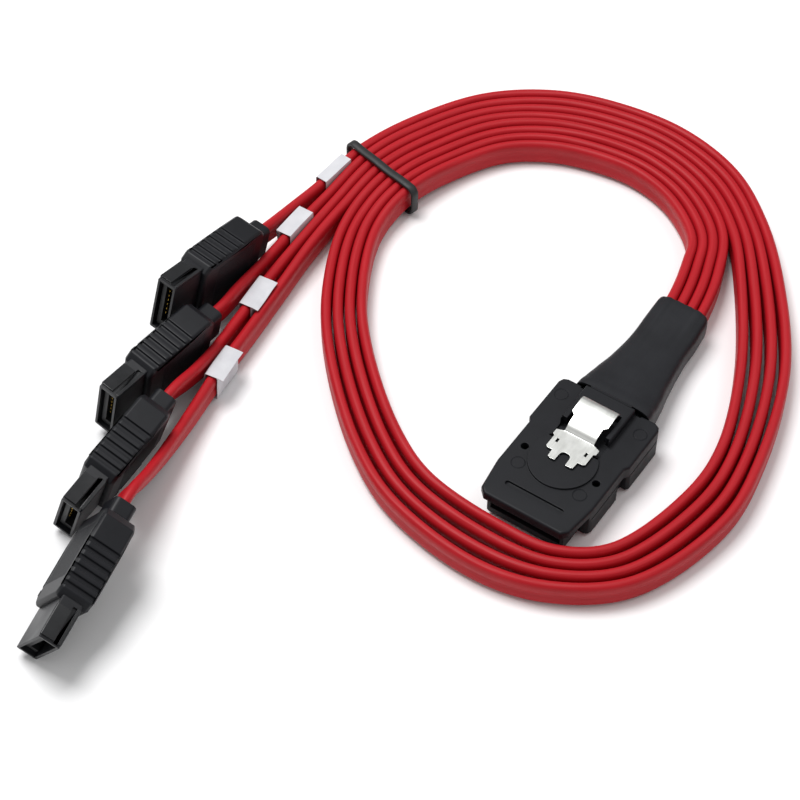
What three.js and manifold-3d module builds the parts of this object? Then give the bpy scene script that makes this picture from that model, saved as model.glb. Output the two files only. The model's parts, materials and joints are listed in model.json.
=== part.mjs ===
// Mini SAS breakout cable: one 36-circuit plug, four flat twin cables, four single-lane SATA plugs.
// Millimetres, +Z up. The plug's mating face looks along -Y, and the whole cable lies on Z = 0.
import * as THREE from 'three';
import { mergeVertices } from 'three/addons/utils/BufferGeometryUtils.js';
import Module from 'manifold-3d';

const wasm = await Module();
wasm.setup();

// Clearances between separate pieces
const SEAT_GAP = 0.3;
const CARD_GAP = 0.4;
const MOULD_GAP = 0.4;
const SOCKET_GAP = 0.2;

// Plug housing, measured from its back edge towards the mating face
const PLUG_LENGTH = 35.5;
const PLUG_BACK = 17.5;
const PLUG_TOP = 8.6;
const WING_HALF_WIDTH = 12.2;
const WING_LENGTH = 13.1;
const BODY_HALF_WIDTH = 11.5;
const BODY_END = 27.5;
const HOOD_HALF_WIDTH = 10.5;
const HOOD_UNDERSIDE = 6.45;
const HOOD_CORNER = 1.4;
const PARTING = 5.2;
const EDGE_CHAMFER = 0.6;
const WING_CORNER = 1.6;
const WING_EASE = 0.5;
const SHELL_CORNER = 0.6;
const SHELL_WALL = 1.2;
const SHELL_FLOOR = 1.2;
const CAVITY_HALF_WIDTH = 8.9;
const CAVITY_BACK = 1.5;
const CAVITY_FRONT = 26;
const NOTCH_END = 15.8;
const NOTCH_HALF_WIDTH = 10.4;
const RAIL_RADIUS = 1.3;

// Nose that enters the board connector, and the card inside it
const NOSE_FRONT = 33.8;
const NOSE_HALF_WIDTH = 9.2;
const NOSE_BOTTOM = 0.6;
const NOSE_TOP = 6.1;
const NOSE_CORNER = 0.7;
const NOSE_WALL = 0.9;
const CARD_THICKNESS = 1;
const CARD_MIDDLE = 3.4;
const CARD_SETBACK = 1.2;
const CARD_BACK = 13.4;
const CARD_CORNER = 0.8;
const FINGER_COUNT = 18;
const FINGER_PITCH = 0.8;
const FINGER_WIDTH = 0.45;
const FINGER_LENGTH = 4.2;
const FINGER_HEIGHT = 0.1;

// Latch guard, boss and recesses on the plug's top
const GUARD_HALF_WIDTH = 6;
const GUARD_TOP = 10.4;
const GUARD_BRIDGE = 4.1;
const GUARD_END = 11.6;
const GUARD_CORNER = 0.9;
const GUARD_CHAMFER = 0.4;
const WELL_FLOOR = 7.9;
const WELL_END = 15.5;
const POCKET_HALF_WIDTH = 5.7;
const BOSS_RADIUS = 7.4;
const BOSS_CENTRE = 19.6;
const BOSS_TOP = 9.15;
const GROOVE_AT = 30.6;
const GROOVE_HALF_LENGTH = 6.9;
const GROOVE_WIDTH = 1.1;
const GROOVE_DEPTH = 0.6;
const PIN_HOLE_AT = 20.6;
const PIN_HOLE_X = 8.6;
const PIN_HOLE_RADIUS = 0.85;
const SLIT_X = 6.15;
const SLIT_WIDTH = 2.3;
const SLIT_LENGTH = 0.7;
const SLIT_FLOOR = 7.1;

// Stamped latch: a strip bent in side view and cut to an outline in plan
const LATCH_THICKNESS = 0.3;
const PAD_HALF_WIDTH = 4.35;
const PAD_FRONT_HALF_WIDTH = 3.5;
const PAD_CREST = 12;
const PLATE_HALF_WIDTH = 4.7;
const EAR_HALF_WIDTH = 5.2;
const PRONG_INNER = 1.2;
const PRONG_OUTER = 3.1;
const PRONG_TIP = 21;
const PLATE_SLOT_AT = 16.3;
const PLATE_SLOT_X = 3.45;
const PLATE_SLOT_WIDTH = 0.55;
const PLATE_SLOT_LENGTH = 1.1;
// Middle line of the pad and the riser, as distance from the plug's back and drop below the crest
const PAD_LINE = [
  [4.5, 0.7], [5, 0.2], [5.8, 0], [7.6, 0.2], [9.4, 0.55], [11, 1], [12, 1.35], [12.5, 1.8],
];
const RISER_LINE = [[12.9, 0.35], [13.4, 0]];
// Right half of the latch in plan, as half width and distance from the plug's back
const LATCH_PLAN = [
  [PAD_HALF_WIDTH, 4], [PAD_HALF_WIDTH, 9.2], [PAD_FRONT_HALF_WIDTH, 9.9], [PAD_FRONT_HALF_WIDTH, 13.3],
  [EAR_HALF_WIDTH, 13.9], [EAR_HALF_WIDTH, 15.2], [PLATE_HALF_WIDTH, 15.5], [PLATE_HALF_WIDTH, 18.6],
  [PLATE_HALF_WIDTH - 0.4, 19], [PRONG_OUTER, 19], [PRONG_OUTER - 0.1, PRONG_TIP - 0.2],
  [PRONG_INNER + 0.1, PRONG_TIP + 0.3], [PRONG_INNER, 19], [PRONG_INNER * 0.8, 18.5],
  [PRONG_INNER * 0.4, 18.2],
];

// Potting that holds the wires on the card, with the neck that the sleeve grips
const MOULD_FRONT = 15;
const NECK_LENGTH = 4;
const NECK_HALF_WIDTH = 7.4;
const NECK_CORNER = 1.4;

// Flat twin cable standing on edge
const CABLE_HEIGHT = 6.2;
const CABLE_THICKNESS = 2.2;
const CABLE_SHOULDER = 0.9;
const BAND_PITCH = 2.45;
const SAMPLES_PER_SPAN = 2;

// Heat-shrink sleeve
const SLEEVE_WALL = 0.5;
const SLEEVE_STEPS = 14;
// Stations of the sleeve's outside: distance behind the plug, middle, half width, low and high
const SLEEVE_STATIONS = [
  [0, 0, 9, 0.3, 9.5], [3, 0, 8.75, 0.25, 9.2], [6.5, -0.05, 8.35, 0.2, 8.8],
  [12, -0.2, 7.3, 0.15, 8.3], [18, -0.4, 6.75, 0.1, 8.05], [24, -0.7, 6.45, 0.05, 7.9],
  [31, -1.1, 6.3, 0.05, 7.8], [32.8, -1.25, 6.1, 0.05, 7.75],
];

// Strap round both passes of the band
const STRAP_WIDTH = 2;
const STRAP_THICKNESS = 0.8;
const STRAP_HALF_LENGTH = 11.5;
const STRAP_HEIGHT = 8.5;
const STRAP_CORNER = 2.2;
const STRAP_PLACE = { x: -79.8, y: 47.7, heading: -13 };

// Marker labels: a film sleeve with a free flap on top
const LABEL_LENGTH = 8.2;
const LABEL_FILM = 0.25;
const LABEL_HEIGHT = 7.3;
const LABEL_HALF_WIDTH = 1.57;

// SATA plug: overmoulded boot, moulded head and contact insert
const HEAD_WIDTH = 4.72;
const HEAD_HEIGHT = 14.04;
const HEAD_LENGTH = 9.66;
const HEAD_CORNER = 0.35;
const HEAD_RIM = 0.6;
const MOUTH_DEPTH = 6.8;
const KEY_SETBACK = 0.6;
const KEY_PLATE_HEIGHT = 0.5;
const KEY_PLATE_WIDTH = 3;
const KEY_PLATE_LENGTH = 7;
const KEY_RAIL_HEIGHT = 0.25;
const KEY_RAIL_WIDTH = 0.7;
const KEY_RAIL_LENGTH = 8;
const SPIGOT_LENGTH = 4.5;
const SPIGOT_STEP = 0.5;
const INSERT_THICKNESS = 1.1;
const INSERT_SETBACK = 1;
const INSERT_FOOT = 1.4;
const CONTACT_COUNT = 7;
const CONTACT_PITCH = 1.27;
const CONTACT_WIDTH = 0.55;
const CONTACT_SETBACK = 0.4;
const CONTACT_BEDDED = 0.2;
const CONTACT_PROUD = 0.22;
const BOOT_WIDTH = 7.55;
const BOOT_HEIGHT = 15.55;
const BOOT_LENGTH = 18.95;
const BOOT_CHAMFER = 1.5;
const BOOT_EDGE = 0.6;
const RIB_COUNT = 6;
const RIB_PITCH = 1.85;
const RIB_GROOVE = 0.8;
const RIB_DEPTH = 0.55;
const RIB_START = 2.2;
const REAR_SHOULDER = 1.6;
const NUB_LENGTH = 3.8;
const NUB_WIDTH = 5;
const NUB_HEIGHT = 8.4;
const NUB_CORNER = 1.2;
const SOCKET_DEPTH = 2.5;
const ENTRY_LEAD = 4;

// Where each SATA plug lies: the middle of its mouth, its heading, lift and lean in degrees
const SATA_PLACES = [
  { x: -91.1, y: -18.6, heading: -1.3, lift: 11.6, lean: 6.8 },
  { x: -85.5, y: -45.3, heading: -3.3, lift: 2.5, lean: 11.4 },
  { x: -75.3, y: -70.5, heading: 2.3, lift: -3.6, lean: 20.2 },
  { x: -60.4, y: -97.2, heading: 9.4, lift: -8.7, lean: 34.2 },
];

// Middle of the four-cable band, as x, y, z and the pitch of its lanes
const LEAD_OUT = [[0, 22, 4.2, 2.5], [-1.2, 51, 3.9, 2.5], [-4.4, 64.5, 3.25, 2.45]];
const TOP_BEND = [
  [-5.2, 77.1, 3.15], [-16.8, 86.2, 3.15], [-30.6, 90.2, 3.15], [-44, 89.3, 3.15],
  [-56.6, 85.2, 3.15], [-67.7, 76.9, 3.15], [-75.3, 64, 3.25], [-79.6, 48.6, 4.25],
];
const LOOP = [
  [-74.5, 31.8, 3.2, 2.45], [-65.6, 12.7, 3.15, 2.6], [-54.8, -0.8, 3.15, 2.75],
  [-36.5, -16.6, 3.15, 3], [-23.2, -23.6, 3.15, 3.2], [-2.4, -26.3, 3.15, 3.5],
  [11.2, -23.9, 3.15, 2.95], [22.4, -15.3, 3.15, 2.95], [29.2, 6.3, 3.15, 3.15],
  [28.3, 22.7, 3.15, 2.8], [20.7, 46.4, 3.15, 3.15], [8.2, 67.8, 3.15, 2.8],
];
// Each cable's own run from the strap to its plug, as x, y, z and its lean in degrees
const TAILS = [
  [[-89.2, 36, 3.9, 0], [-89.8, 27.5, 4.6, 2]],
  [[-86.1, 34, 3.5, 0], [-86, 22, 3.75, 0], [-85.3, 9, 4.5, 3], [-84.4, -1, 6.4, 8]],
  [
    [-83.6, 34, 3.25, 0], [-82.95, 20, 3.25, 0], [-81.7, 6, 3.8, 0], [-80, -7, 4.2, 2],
    [-78.4, -18.5, 5.4, 7], [-77.3, -27, 7.8, 14],
  ],
  [
    [-81.2, 34, 3.25, 0], [-80.3, 20, 3.25, 0], [-78.5, 6, 3.25, 0], [-76.5, -8, 3.5, 0],
    [-74.6, -22, 4.1, 2], [-72.3, -34, 4.7, 6], [-69.8, -45.5, 6.7, 14], [-67.6, -55, 9.8, 25],
  ],
];
const LABELS = [
  { cable: 0, y: 41, left: 1.55, right: 1.55 },
  { cable: 1, y: 22.6, left: 2.3, right: 1.5 },
  { cable: 2, y: 0.2, left: 1.5, right: 3.2 },
  { cable: 3, y: -20.3, left: 1.5, right: 2.9 },
];

const BLACK_PLASTIC = { color: 0x2b2c30, roughness: 0.55, metalness: 0 };
const SLEEVE_BLACK = { color: 0x303338, roughness: 0.5, metalness: 0 };
const SATA_BLACK = { color: 0x262729, roughness: 0.6, metalness: 0 };
const STEEL = { color: 0xd4d5d2, roughness: 0.22, metalness: 1 };
const CARD_GREEN = { color: 0x1f4a33, roughness: 0.5, metalness: 0 };
const CONTACT_GOLD = { color: 0xb08d3c, roughness: 0.35, metalness: 1 };
const POTTING = { color: 0x1c1c1f, roughness: 0.7, metalness: 0 };
const CABLE_RED = { color: 0xb5303a, roughness: 0.45, metalness: 0 };
const LABEL_WHITE = { color: 0xdcdde0, roughness: 0.5, metalness: 0 };
const STRAP_BLACK = { color: 0x1e1f22, roughness: 0.6, metalness: 0 };

const root = new THREE.Group();

function solidOf(geometry) {
  geometry.deleteAttribute('normal');
  geometry.deleteAttribute('uv');
  const merged = mergeVertices(geometry, 1e-4);
  return new wasm.Manifold(new wasm.Mesh({
    numProp: 3,
    vertProperties: Float32Array.from(merged.attributes.position.array),
    triVerts: Uint32Array.from(merged.index.array),
  }));
}

function geometryOf(solid) {
  const { vertProperties, triVerts } = solid.getMesh();
  const geometry = new THREE.BufferGeometry();
  geometry.setAttribute('position', new THREE.BufferAttribute(vertProperties, 3));
  geometry.setIndex(new THREE.BufferAttribute(triVerts, 1));
  return geometry;
}

function addPiece(parent, name, solid, look) {
  const geometry = solid.isBufferGeometry ? solid : geometryOf(solid);
  const mesh = new THREE.Mesh(geometry, new THREE.MeshStandardMaterial(look));
  mesh.name = name;
  parent.add(mesh);
  return mesh;
}

// Distance from the plug's back edge, as a Y coordinate
function fromBack(along) {
  return PLUG_BACK - along;
}

// Box by its low and high corners
function block([x0, y0, z0], [x1, y1, z1]) {
  const geometry = new THREE.BoxGeometry(x1 - x0, y1 - y0, z1 - z0);
  geometry.translate((x0 + x1) / 2, (y0 + y1) / 2, (z0 + z1) / 2);
  return solidOf(geometry);
}

// Box on the plug's centreline, between two distances from its back edge
function plugBlock(halfWidth, back, front, low, high) {
  return block([-halfWidth, fromBack(front), low], [halfWidth, fromBack(back), high]);
}

function roundedRect(width, height, corner) {
  const x = width / 2 - corner;
  const y = height / 2 - corner;
  const shape = new THREE.Shape();
  shape.absarc(x, y, corner, 0, Math.PI / 2);
  shape.absarc(-x, y, corner, Math.PI / 2, Math.PI);
  shape.absarc(-x, -y, corner, Math.PI, Math.PI * 1.5);
  shape.absarc(x, -y, corner, Math.PI * 1.5, Math.PI * 2);
  return shape;
}

// Flat outline in XY pulled up from one height to another
function upright(shape, low, high, segments = 3) {
  const geometry = new THREE.ExtrudeGeometry(shape, {
    depth: high - low, bevelEnabled: false, curveSegments: segments,
  });
  geometry.translate(0, 0, low);
  return solidOf(geometry);
}

// Outline in XZ pulled along Y
function lengthwise(shape, start, end, segments = 3) {
  const geometry = new THREE.ExtrudeGeometry(shape, {
    depth: end - start, bevelEnabled: false, curveSegments: segments,
  });
  geometry.rotateX(Math.PI / 2);
  geometry.translate(0, end, 0);
  return solidOf(geometry);
}

// Moulding with its upper and lower edges broken by a chamfer
function moulded(shape, low, high, chamfer) {
  const geometry = new THREE.ExtrudeGeometry(shape, {
    depth: high - low - 2 * chamfer, bevelEnabled: true, bevelThickness: chamfer, bevelSize: chamfer,
    bevelOffset: -chamfer, bevelSegments: 2, curveSegments: 3,
  });
  geometry.translate(0, 0, low + chamfer);
  return solidOf(geometry);
}

function cylinder(x, y, radius, low, high, segments) {
  const geometry = new THREE.CylinderGeometry(radius, radius, high - low, segments);
  geometry.rotateX(Math.PI / 2);
  geometry.translate(x, y, (low + high) / 2);
  return solidOf(geometry);
}

// Right half of an outline as x and distance from the back, mirrored about the centreline
function mirroredOutline(half) {
  const right = half.map(([x, along]) => new THREE.Vector2(x, fromBack(along)));
  const left = half.map(([x, along]) => new THREE.Vector2(-x, fromBack(along))).reverse();
  return new THREE.Shape([...right, ...left].reverse());
}

// Rounded rear corner that both shells share
function wingCorner() {
  return [
    [WING_HALF_WIDTH - WING_CORNER, 0], [WING_HALF_WIDTH - WING_EASE, WING_EASE],
    [WING_HALF_WIDTH, WING_CORNER],
  ];
}

function upperOutline() {
  const shoulder = WING_HALF_WIDTH - BODY_HALF_WIDTH;
  return mirroredOutline([
    ...wingCorner(),
    [WING_HALF_WIDTH, WING_LENGTH], [BODY_HALF_WIDTH, WING_LENGTH + shoulder * 1.6],
    [BODY_HALF_WIDTH, BODY_END - 1], [HOOD_HALF_WIDTH, PLUG_LENGTH - HOOD_CORNER],
    [HOOD_HALF_WIDTH - HOOD_CORNER, PLUG_LENGTH],
  ]);
}

function lowerOutline() {
  const outer = BODY_HALF_WIDTH;
  return mirroredOutline([
    ...wingCorner(),
    [WING_HALF_WIDTH, WING_LENGTH - SHELL_CORNER], [WING_HALF_WIDTH - SHELL_CORNER, WING_LENGTH],
    [NOTCH_HALF_WIDTH, WING_LENGTH], [NOTCH_HALF_WIDTH, NOTCH_END],
    [outer - SHELL_CORNER, NOTCH_END], [outer, NOTCH_END + SHELL_CORNER],
    [outer, BODY_END - RAIL_RADIUS], [outer - RAIL_RADIUS * 0.3, BODY_END - RAIL_RADIUS * 0.3],
    [outer - RAIL_RADIUS, BODY_END],
  ]);
}

// Bridge behind the press pad and a cheek along each side of it, with the round boss in front
function latchGuard() {
  const root = PLUG_TOP - SHELL_WALL / 2;
  const plan = roundedRect(2 * GUARD_HALF_WIDTH, GUARD_END, GUARD_CORNER);
  const guard = moulded(plan, root - GUARD_CHAMFER, GUARD_TOP, GUARD_CHAMFER);
  const boss = cylinder(0, fromBack(BOSS_CENTRE), BOSS_RADIUS, root, BOSS_TOP, 40);
  return guard.translate([0, fromBack(GUARD_END / 2), 0]).add(boss);
}

function latchWell() {
  const between = plugBlock(PAD_HALF_WIDTH + SEAT_GAP, GUARD_BRIDGE, WELL_END, WELL_FLOOR, GUARD_TOP + 1);
  const pockets = plugBlock(POCKET_HALF_WIDTH, GUARD_END - 1, WELL_END, WELL_FLOOR, GUARD_TOP + 1);
  return between.add(pockets);
}

function plugUpperShell() {
  const ceiling = PLUG_TOP - SHELL_WALL;
  let shell = moulded(upperOutline(), 0, PLUG_TOP, EDGE_CHAMFER);
  shell = shell.subtract(plugBlock(2 * WING_HALF_WIDTH, -1, PLUG_LENGTH + 1, -1, PARTING + SEAT_GAP / 2));
  shell = shell.subtract(plugBlock(2 * WING_HALF_WIDTH, BODY_END, PLUG_LENGTH + 1, 0, HOOD_UNDERSIDE));
  const noseRoom = NOSE_HALF_WIDTH + SEAT_GAP;
  shell = shell.subtract(plugBlock(noseRoom, CAVITY_BACK, BODY_END + 1, 0, HOOD_UNDERSIDE));
  shell = shell.subtract(plugBlock(CAVITY_HALF_WIDTH, -1, CAVITY_FRONT, 0, ceiling));
  shell = shell.add(latchGuard()).subtract(latchWell());
  const groove = new THREE.Shape();
  groove.absarc(GROOVE_HALF_LENGTH - GROOVE_WIDTH / 2, 0, GROOVE_WIDTH / 2, -Math.PI / 2, Math.PI / 2);
  groove.absarc(-GROOVE_HALF_LENGTH + GROOVE_WIDTH / 2, 0, GROOVE_WIDTH / 2, Math.PI / 2, Math.PI * 1.5);
  const grooveCut = upright(groove, PLUG_TOP - GROOVE_DEPTH, PLUG_TOP + 1, 6);
  shell = shell.subtract(grooveCut.translate([0, fromBack(GROOVE_AT), 0]));
  for (const side of [-1, 1]) {
    const hole = cylinder(
      side * PIN_HOLE_X, fromBack(PIN_HOLE_AT), PIN_HOLE_RADIUS, ceiling - 1, PLUG_TOP + 1, 12,
    );
    const slitX = side * SLIT_X;
    const slit = block(
      [slitX - SLIT_WIDTH / 2, fromBack(SLIT_LENGTH), SLIT_FLOOR],
      [slitX + SLIT_WIDTH / 2, fromBack(-1), GUARD_TOP + 1],
    );
    shell = shell.subtract(hole).subtract(slit);
  }
  return shell;
}

// The nose is a shroud round the card, open at the front
function plugLowerShell() {
  const top = PARTING - SEAT_GAP / 2;
  let shell = moulded(lowerOutline(), 0, PARTING + 3, EDGE_CHAMFER);
  shell = shell.subtract(plugBlock(2 * WING_HALF_WIDTH, -1, PLUG_LENGTH + 1, top, PARTING + 4));
  shell = shell.subtract(plugBlock(CAVITY_HALF_WIDTH, -1, CAVITY_FRONT, SHELL_FLOOR, top + 1));
  const nose = roundedRect(2 * NOSE_HALF_WIDTH, NOSE_TOP - NOSE_BOTTOM, NOSE_CORNER);
  const noseSolid = lengthwise(nose, fromBack(NOSE_FRONT), fromBack(CAVITY_FRONT));
  shell = shell.add(noseSolid.translate([0, 0, (NOSE_TOP + NOSE_BOTTOM) / 2]));
  const slotHalf = CARD_THICKNESS / 2 + FINGER_HEIGHT + CARD_GAP;
  return shell.subtract(plugBlock(
    NOSE_HALF_WIDTH - NOSE_WALL, CAVITY_FRONT - 1, NOSE_FRONT + 1,
    CARD_MIDDLE - slotHalf, CARD_MIDDLE + slotHalf,
  ));
}

// Circuit card with a row of contact fingers on each face at its front edge
function paddleCard() {
  const halfWidth = NOSE_HALF_WIDTH - NOSE_WALL - SEAT_GAP;
  const front = NOSE_FRONT - CARD_SETBACK;
  const low = CARD_MIDDLE - CARD_THICKNESS / 2;
  let card = upright(mirroredOutline([
    [halfWidth, CARD_BACK], [halfWidth, front - CARD_CORNER], [halfWidth - CARD_CORNER, front],
  ]), low, low + CARD_THICKNESS);
  for (let i = 0; i < FINGER_COUNT; i += 1) {
    const x = (i - (FINGER_COUNT - 1) / 2) * FINGER_PITCH;
    const back = front - CARD_CORNER - FINGER_LENGTH;
    card = card.add(block(
      [x - FINGER_WIDTH / 2, fromBack(front - CARD_CORNER), low - FINGER_HEIGHT],
      [x + FINGER_WIDTH / 2, fromBack(back), low + CARD_THICKNESS + FINGER_HEIGHT],
    ));
  }
  return card;
}

function wireMould() {
  const low = SHELL_FLOOR + MOULD_GAP;
  const high = PLUG_TOP - SHELL_WALL - MOULD_GAP;
  const body = plugBlock(CAVITY_HALF_WIDTH - MOULD_GAP, CAVITY_BACK + MOULD_GAP, MOULD_FRONT, low, high);
  const neckShape = roundedRect(2 * NECK_HALF_WIDTH, high - low, NECK_CORNER);
  const neck = lengthwise(neckShape, fromBack(CAVITY_BACK + 1), fromBack(-NECK_LENGTH));
  const cardSlot = plugBlock(
    NOSE_HALF_WIDTH - NOSE_WALL, CARD_BACK - SEAT_GAP, MOULD_FRONT + 1,
    CARD_MIDDLE - CARD_THICKNESS / 2 - SEAT_GAP, CARD_MIDDLE + CARD_THICKNESS / 2 + SEAT_GAP,
  );
  return body.add(neck.translate([0, 0, (low + high) / 2])).subtract(cardSlot);
}

// Closed outline of a bent strip, from its middle line and its thickness
function stripOutline(line, thickness) {
  const points = line.map(([y, z]) => new THREE.Vector2(y, z));
  const sides = [[], []];
  points.forEach((point, i) => {
    const before = points[Math.max(i - 1, 0)];
    const after = points[Math.min(i + 1, points.length - 1)];
    const direction = after.clone().sub(before).normalize();
    const normal = new THREE.Vector2(-direction.y, direction.x).multiplyScalar(thickness / 2);
    sides[0].push(point.clone().add(normal));
    sides[1].unshift(point.clone().sub(normal));
  });
  return new THREE.Shape([...sides[0], ...sides[1]]);
}

// Press pad, riser and locking plate in one strip of sheet
function latch() {
  const plateMiddle = BOSS_TOP + SEAT_GAP + LATCH_THICKNESS / 2;
  const side = [
    ...PAD_LINE.map(([along, drop]) => [along, PAD_CREST - drop]),
    ...RISER_LINE.map(([along, rise]) => [along, plateMiddle + rise]),
    [PRONG_TIP, plateMiddle],
  ].map(([along, z]) => [fromBack(along), z]);
  const bent = new THREE.ExtrudeGeometry(stripOutline(side, LATCH_THICKNESS), {
    depth: 2 * EAR_HALF_WIDTH, bevelEnabled: false,
  });
  bent.rotateZ(Math.PI / 2).rotateY(Math.PI / 2);
  bent.translate(-EAR_HALF_WIDTH, 0, 0);
  let piece = solidOf(bent).intersect(upright(mirroredOutline(LATCH_PLAN), 0, PAD_CREST + 2));
  for (const x of [-PLATE_SLOT_X, PLATE_SLOT_X]) {
    piece = piece.subtract(block(
      [x - PLATE_SLOT_WIDTH / 2, fromBack(PLATE_SLOT_AT + PLATE_SLOT_LENGTH / 2), BOSS_TOP],
      [x + PLATE_SLOT_WIDTH / 2, fromBack(PLATE_SLOT_AT - PLATE_SLOT_LENGTH / 2), BOSS_TOP + 2],
    ));
  }
  return piece;
}

function sleeveStation(distance) {
  const last = SLEEVE_STATIONS.length - 1;
  const at = Math.min(Math.max(SLEEVE_STATIONS.findIndex(([d]) => d >= distance), 1), last);
  const [before, after] = [SLEEVE_STATIONS[at - 1], SLEEVE_STATIONS[at]];
  const share = THREE.MathUtils.clamp((distance - before[0]) / (after[0] - before[0]), 0, 1);
  return before.map((value, i) => THREE.MathUtils.lerp(value, after[i], share));
}

// Rounded block whose section follows the sleeve's stations, drawn in by an inset
function sleeveBody(inset, overshoot) {
  const length = SLEEVE_STATIONS.at(-1)[0] + 2 * overshoot;
  const geometry = new THREE.ExtrudeGeometry(roundedRect(2, 2, 0.4), {
    depth: length, steps: SLEEVE_STEPS, bevelEnabled: false, curveSegments: 4,
  });
  const position = geometry.attributes.position;
  for (let i = 0; i < position.count; i += 1) {
    const distance = position.getZ(i) - overshoot;
    const [, middle, halfWidth, low, high] = sleeveStation(distance);
    const x = middle - position.getX(i) * (halfWidth - inset);
    const z = (low + high) / 2 + position.getY(i) * ((high - low) / 2 - inset);
    position.setXYZ(i, x, PLUG_BACK + SEAT_GAP + distance, z);
  }
  return solidOf(geometry);
}

function shrinkSleeve() {
  return sleeveBody(0, 0).subtract(sleeveBody(SLEEVE_WALL, 1));
}

// Flat cable's course: the section stays on edge and turns over only by its stated lean
class EdgewiseCourse extends THREE.CatmullRomCurve3 {
  constructor(points, leans) {
    super(points, false, 'centripetal');
    this.leans = leans;
  }

  getSpacedPoints(divisions) {
    return this.getPoints(divisions);
  }

  leanAt(t) {
    const place = t * (this.leans.length - 1);
    const i = Math.min(Math.floor(place), this.leans.length - 2);
    return THREE.MathUtils.degToRad(THREE.MathUtils.lerp(this.leans[i], this.leans[i + 1], place - i));
  }

  computeFrenetFrames(segments) {
    const frames = { tangents: [], normals: [], binormals: [] };
    const up = new THREE.Vector3(0, 0, 1);
    for (let i = 0; i <= segments; i += 1) {
      const tangent = this.getTangent(i / segments).normalize();
      const side = new THREE.Vector3().crossVectors(up, tangent).normalize();
      side.applyAxisAngle(tangent, -this.leanAt(i / segments));
      frames.tangents.push(tangent);
      frames.normals.push(side);
      frames.binormals.push(new THREE.Vector3().crossVectors(tangent, side));
    }
    return frames;
  }
}

function cableSection() {
  const [w, h] = [CABLE_THICKNESS / 2, CABLE_HEIGHT / 2];
  const [inner, low] = [w - CABLE_SHOULDER / 2, h - CABLE_SHOULDER];
  return new THREE.Shape([
    [inner, -h], [w, -low], [w, low], [inner, h], [-inner, h], [-w, low], [-w, -low], [-inner, -h],
  ].map(([x, y]) => new THREE.Vector2(x, y)));
}

// Point moved sideways from a line of stations, to the left of its direction of travel
function sidestep(stations, i, offset) {
  const before = stations[Math.max(i - 1, 0)];
  const after = stations[Math.min(i + 1, stations.length - 1)];
  const direction = new THREE.Vector2(after[0] - before[0], after[1] - before[1]).normalize();
  const [x, y, z] = stations[i];
  return new THREE.Vector3(x - direction.y * offset, y + direction.x * offset, z);
}

// Where a cable runs into its plug: a point behind the nub and one in the nub's socket
function cableEntry(plug) {
  plug.updateMatrixWorld();
  const nubFace = HEAD_LENGTH + SEAT_GAP + BOOT_LENGTH + NUB_LENGTH;
  return [nubFace + ENTRY_LEAD, nubFace - SOCKET_DEPTH + SEAT_GAP]
    .map((along) => plug.localToWorld(new THREE.Vector3(0, along, 0)));
}

// Both passes over the top bend lie side by side, the first one inside the second
function cableCourse(cable, plug) {
  const lane = 1.5 - cable;
  const points = [];
  const first = [...LEAD_OUT, ...TOP_BEND];
  LEAD_OUT.forEach((station, i) => points.push(sidestep(first, i, -lane * station[3])));
  TOP_BEND.forEach((_, i) => points.push(sidestep(TOP_BEND, i, (2 - lane) * BAND_PITCH)));
  LOOP.forEach((station, i) => points.push(sidestep(LOOP, i, -lane * station[3])));
  TOP_BEND.forEach((_, i) => points.push(sidestep(TOP_BEND, i, (-2 - lane) * BAND_PITCH)));
  const leans = points.map(() => 0);
  TAILS[cable].forEach(([x, y, z, lean]) => {
    points.push(new THREE.Vector3(x, y, z));
    leans.push(lean);
  });
  cableEntry(plug).forEach((point) => {
    points.push(point);
    leans.push(SATA_PLACES[cable].lean);
  });
  return new EdgewiseCourse(points, leans);
}

function flatCable(course) {
  const steps = (course.points.length - 1) * SAMPLES_PER_SPAN;
  return solidOf(new THREE.ExtrudeGeometry(cableSection(), { steps, extrudePath: course }));
}

// Course parameter where a cable's last run crosses a given Y
function courseAt(course, y) {
  const spans = course.points.length - 1;
  for (let i = spans * 20; i > 0; i -= 1) {
    if (course.getPoint(i / (spans * 20)).y >= y) return i / (spans * 20);
  }
  return 0;
}

// Film wrapped round a cable, with its top flap standing out to the sides
function markerLabel(course, { y, left, right }) {
  const half = LABEL_HEIGHT / 2;
  const outer = upright(roundedRect(2 * LABEL_HALF_WIDTH, LABEL_HEIGHT, 0.5), 0, LABEL_LENGTH);
  const inner = upright(roundedRect(
    2 * (LABEL_HALF_WIDTH - LABEL_FILM), LABEL_HEIGHT - 2 * LABEL_FILM, 0.4,
  ), -1, LABEL_LENGTH + 1);
  const flap = block([-left, half - LABEL_FILM, 0], [right, half, LABEL_LENGTH]);
  const film = outer.add(flap).subtract(inner).translate([0, 0, -LABEL_LENGTH / 2]);
  const t = courseAt(course, y);
  const point = course.getPoint(t);
  const tangent = course.getTangent(t).normalize();
  const side = new THREE.Vector3(0, 0, 1).cross(tangent).normalize();
  const top = tangent.clone().cross(side);
  const place = new THREE.Matrix4().makeBasis(side, top, tangent).setPosition(point);
  return film.transform(place.elements);
}

function strap() {
  const height = STRAP_HEIGHT;
  const outer = roundedRect(2 * STRAP_HALF_LENGTH, height, STRAP_CORNER);
  const inner = roundedRect(
    2 * (STRAP_HALF_LENGTH - STRAP_THICKNESS), height - 2 * STRAP_THICKNESS, STRAP_CORNER - STRAP_THICKNESS,
  );
  outer.holes.push(inner);
  return lengthwise(outer, -STRAP_WIDTH / 2, STRAP_WIDTH / 2, 4);
}

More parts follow.
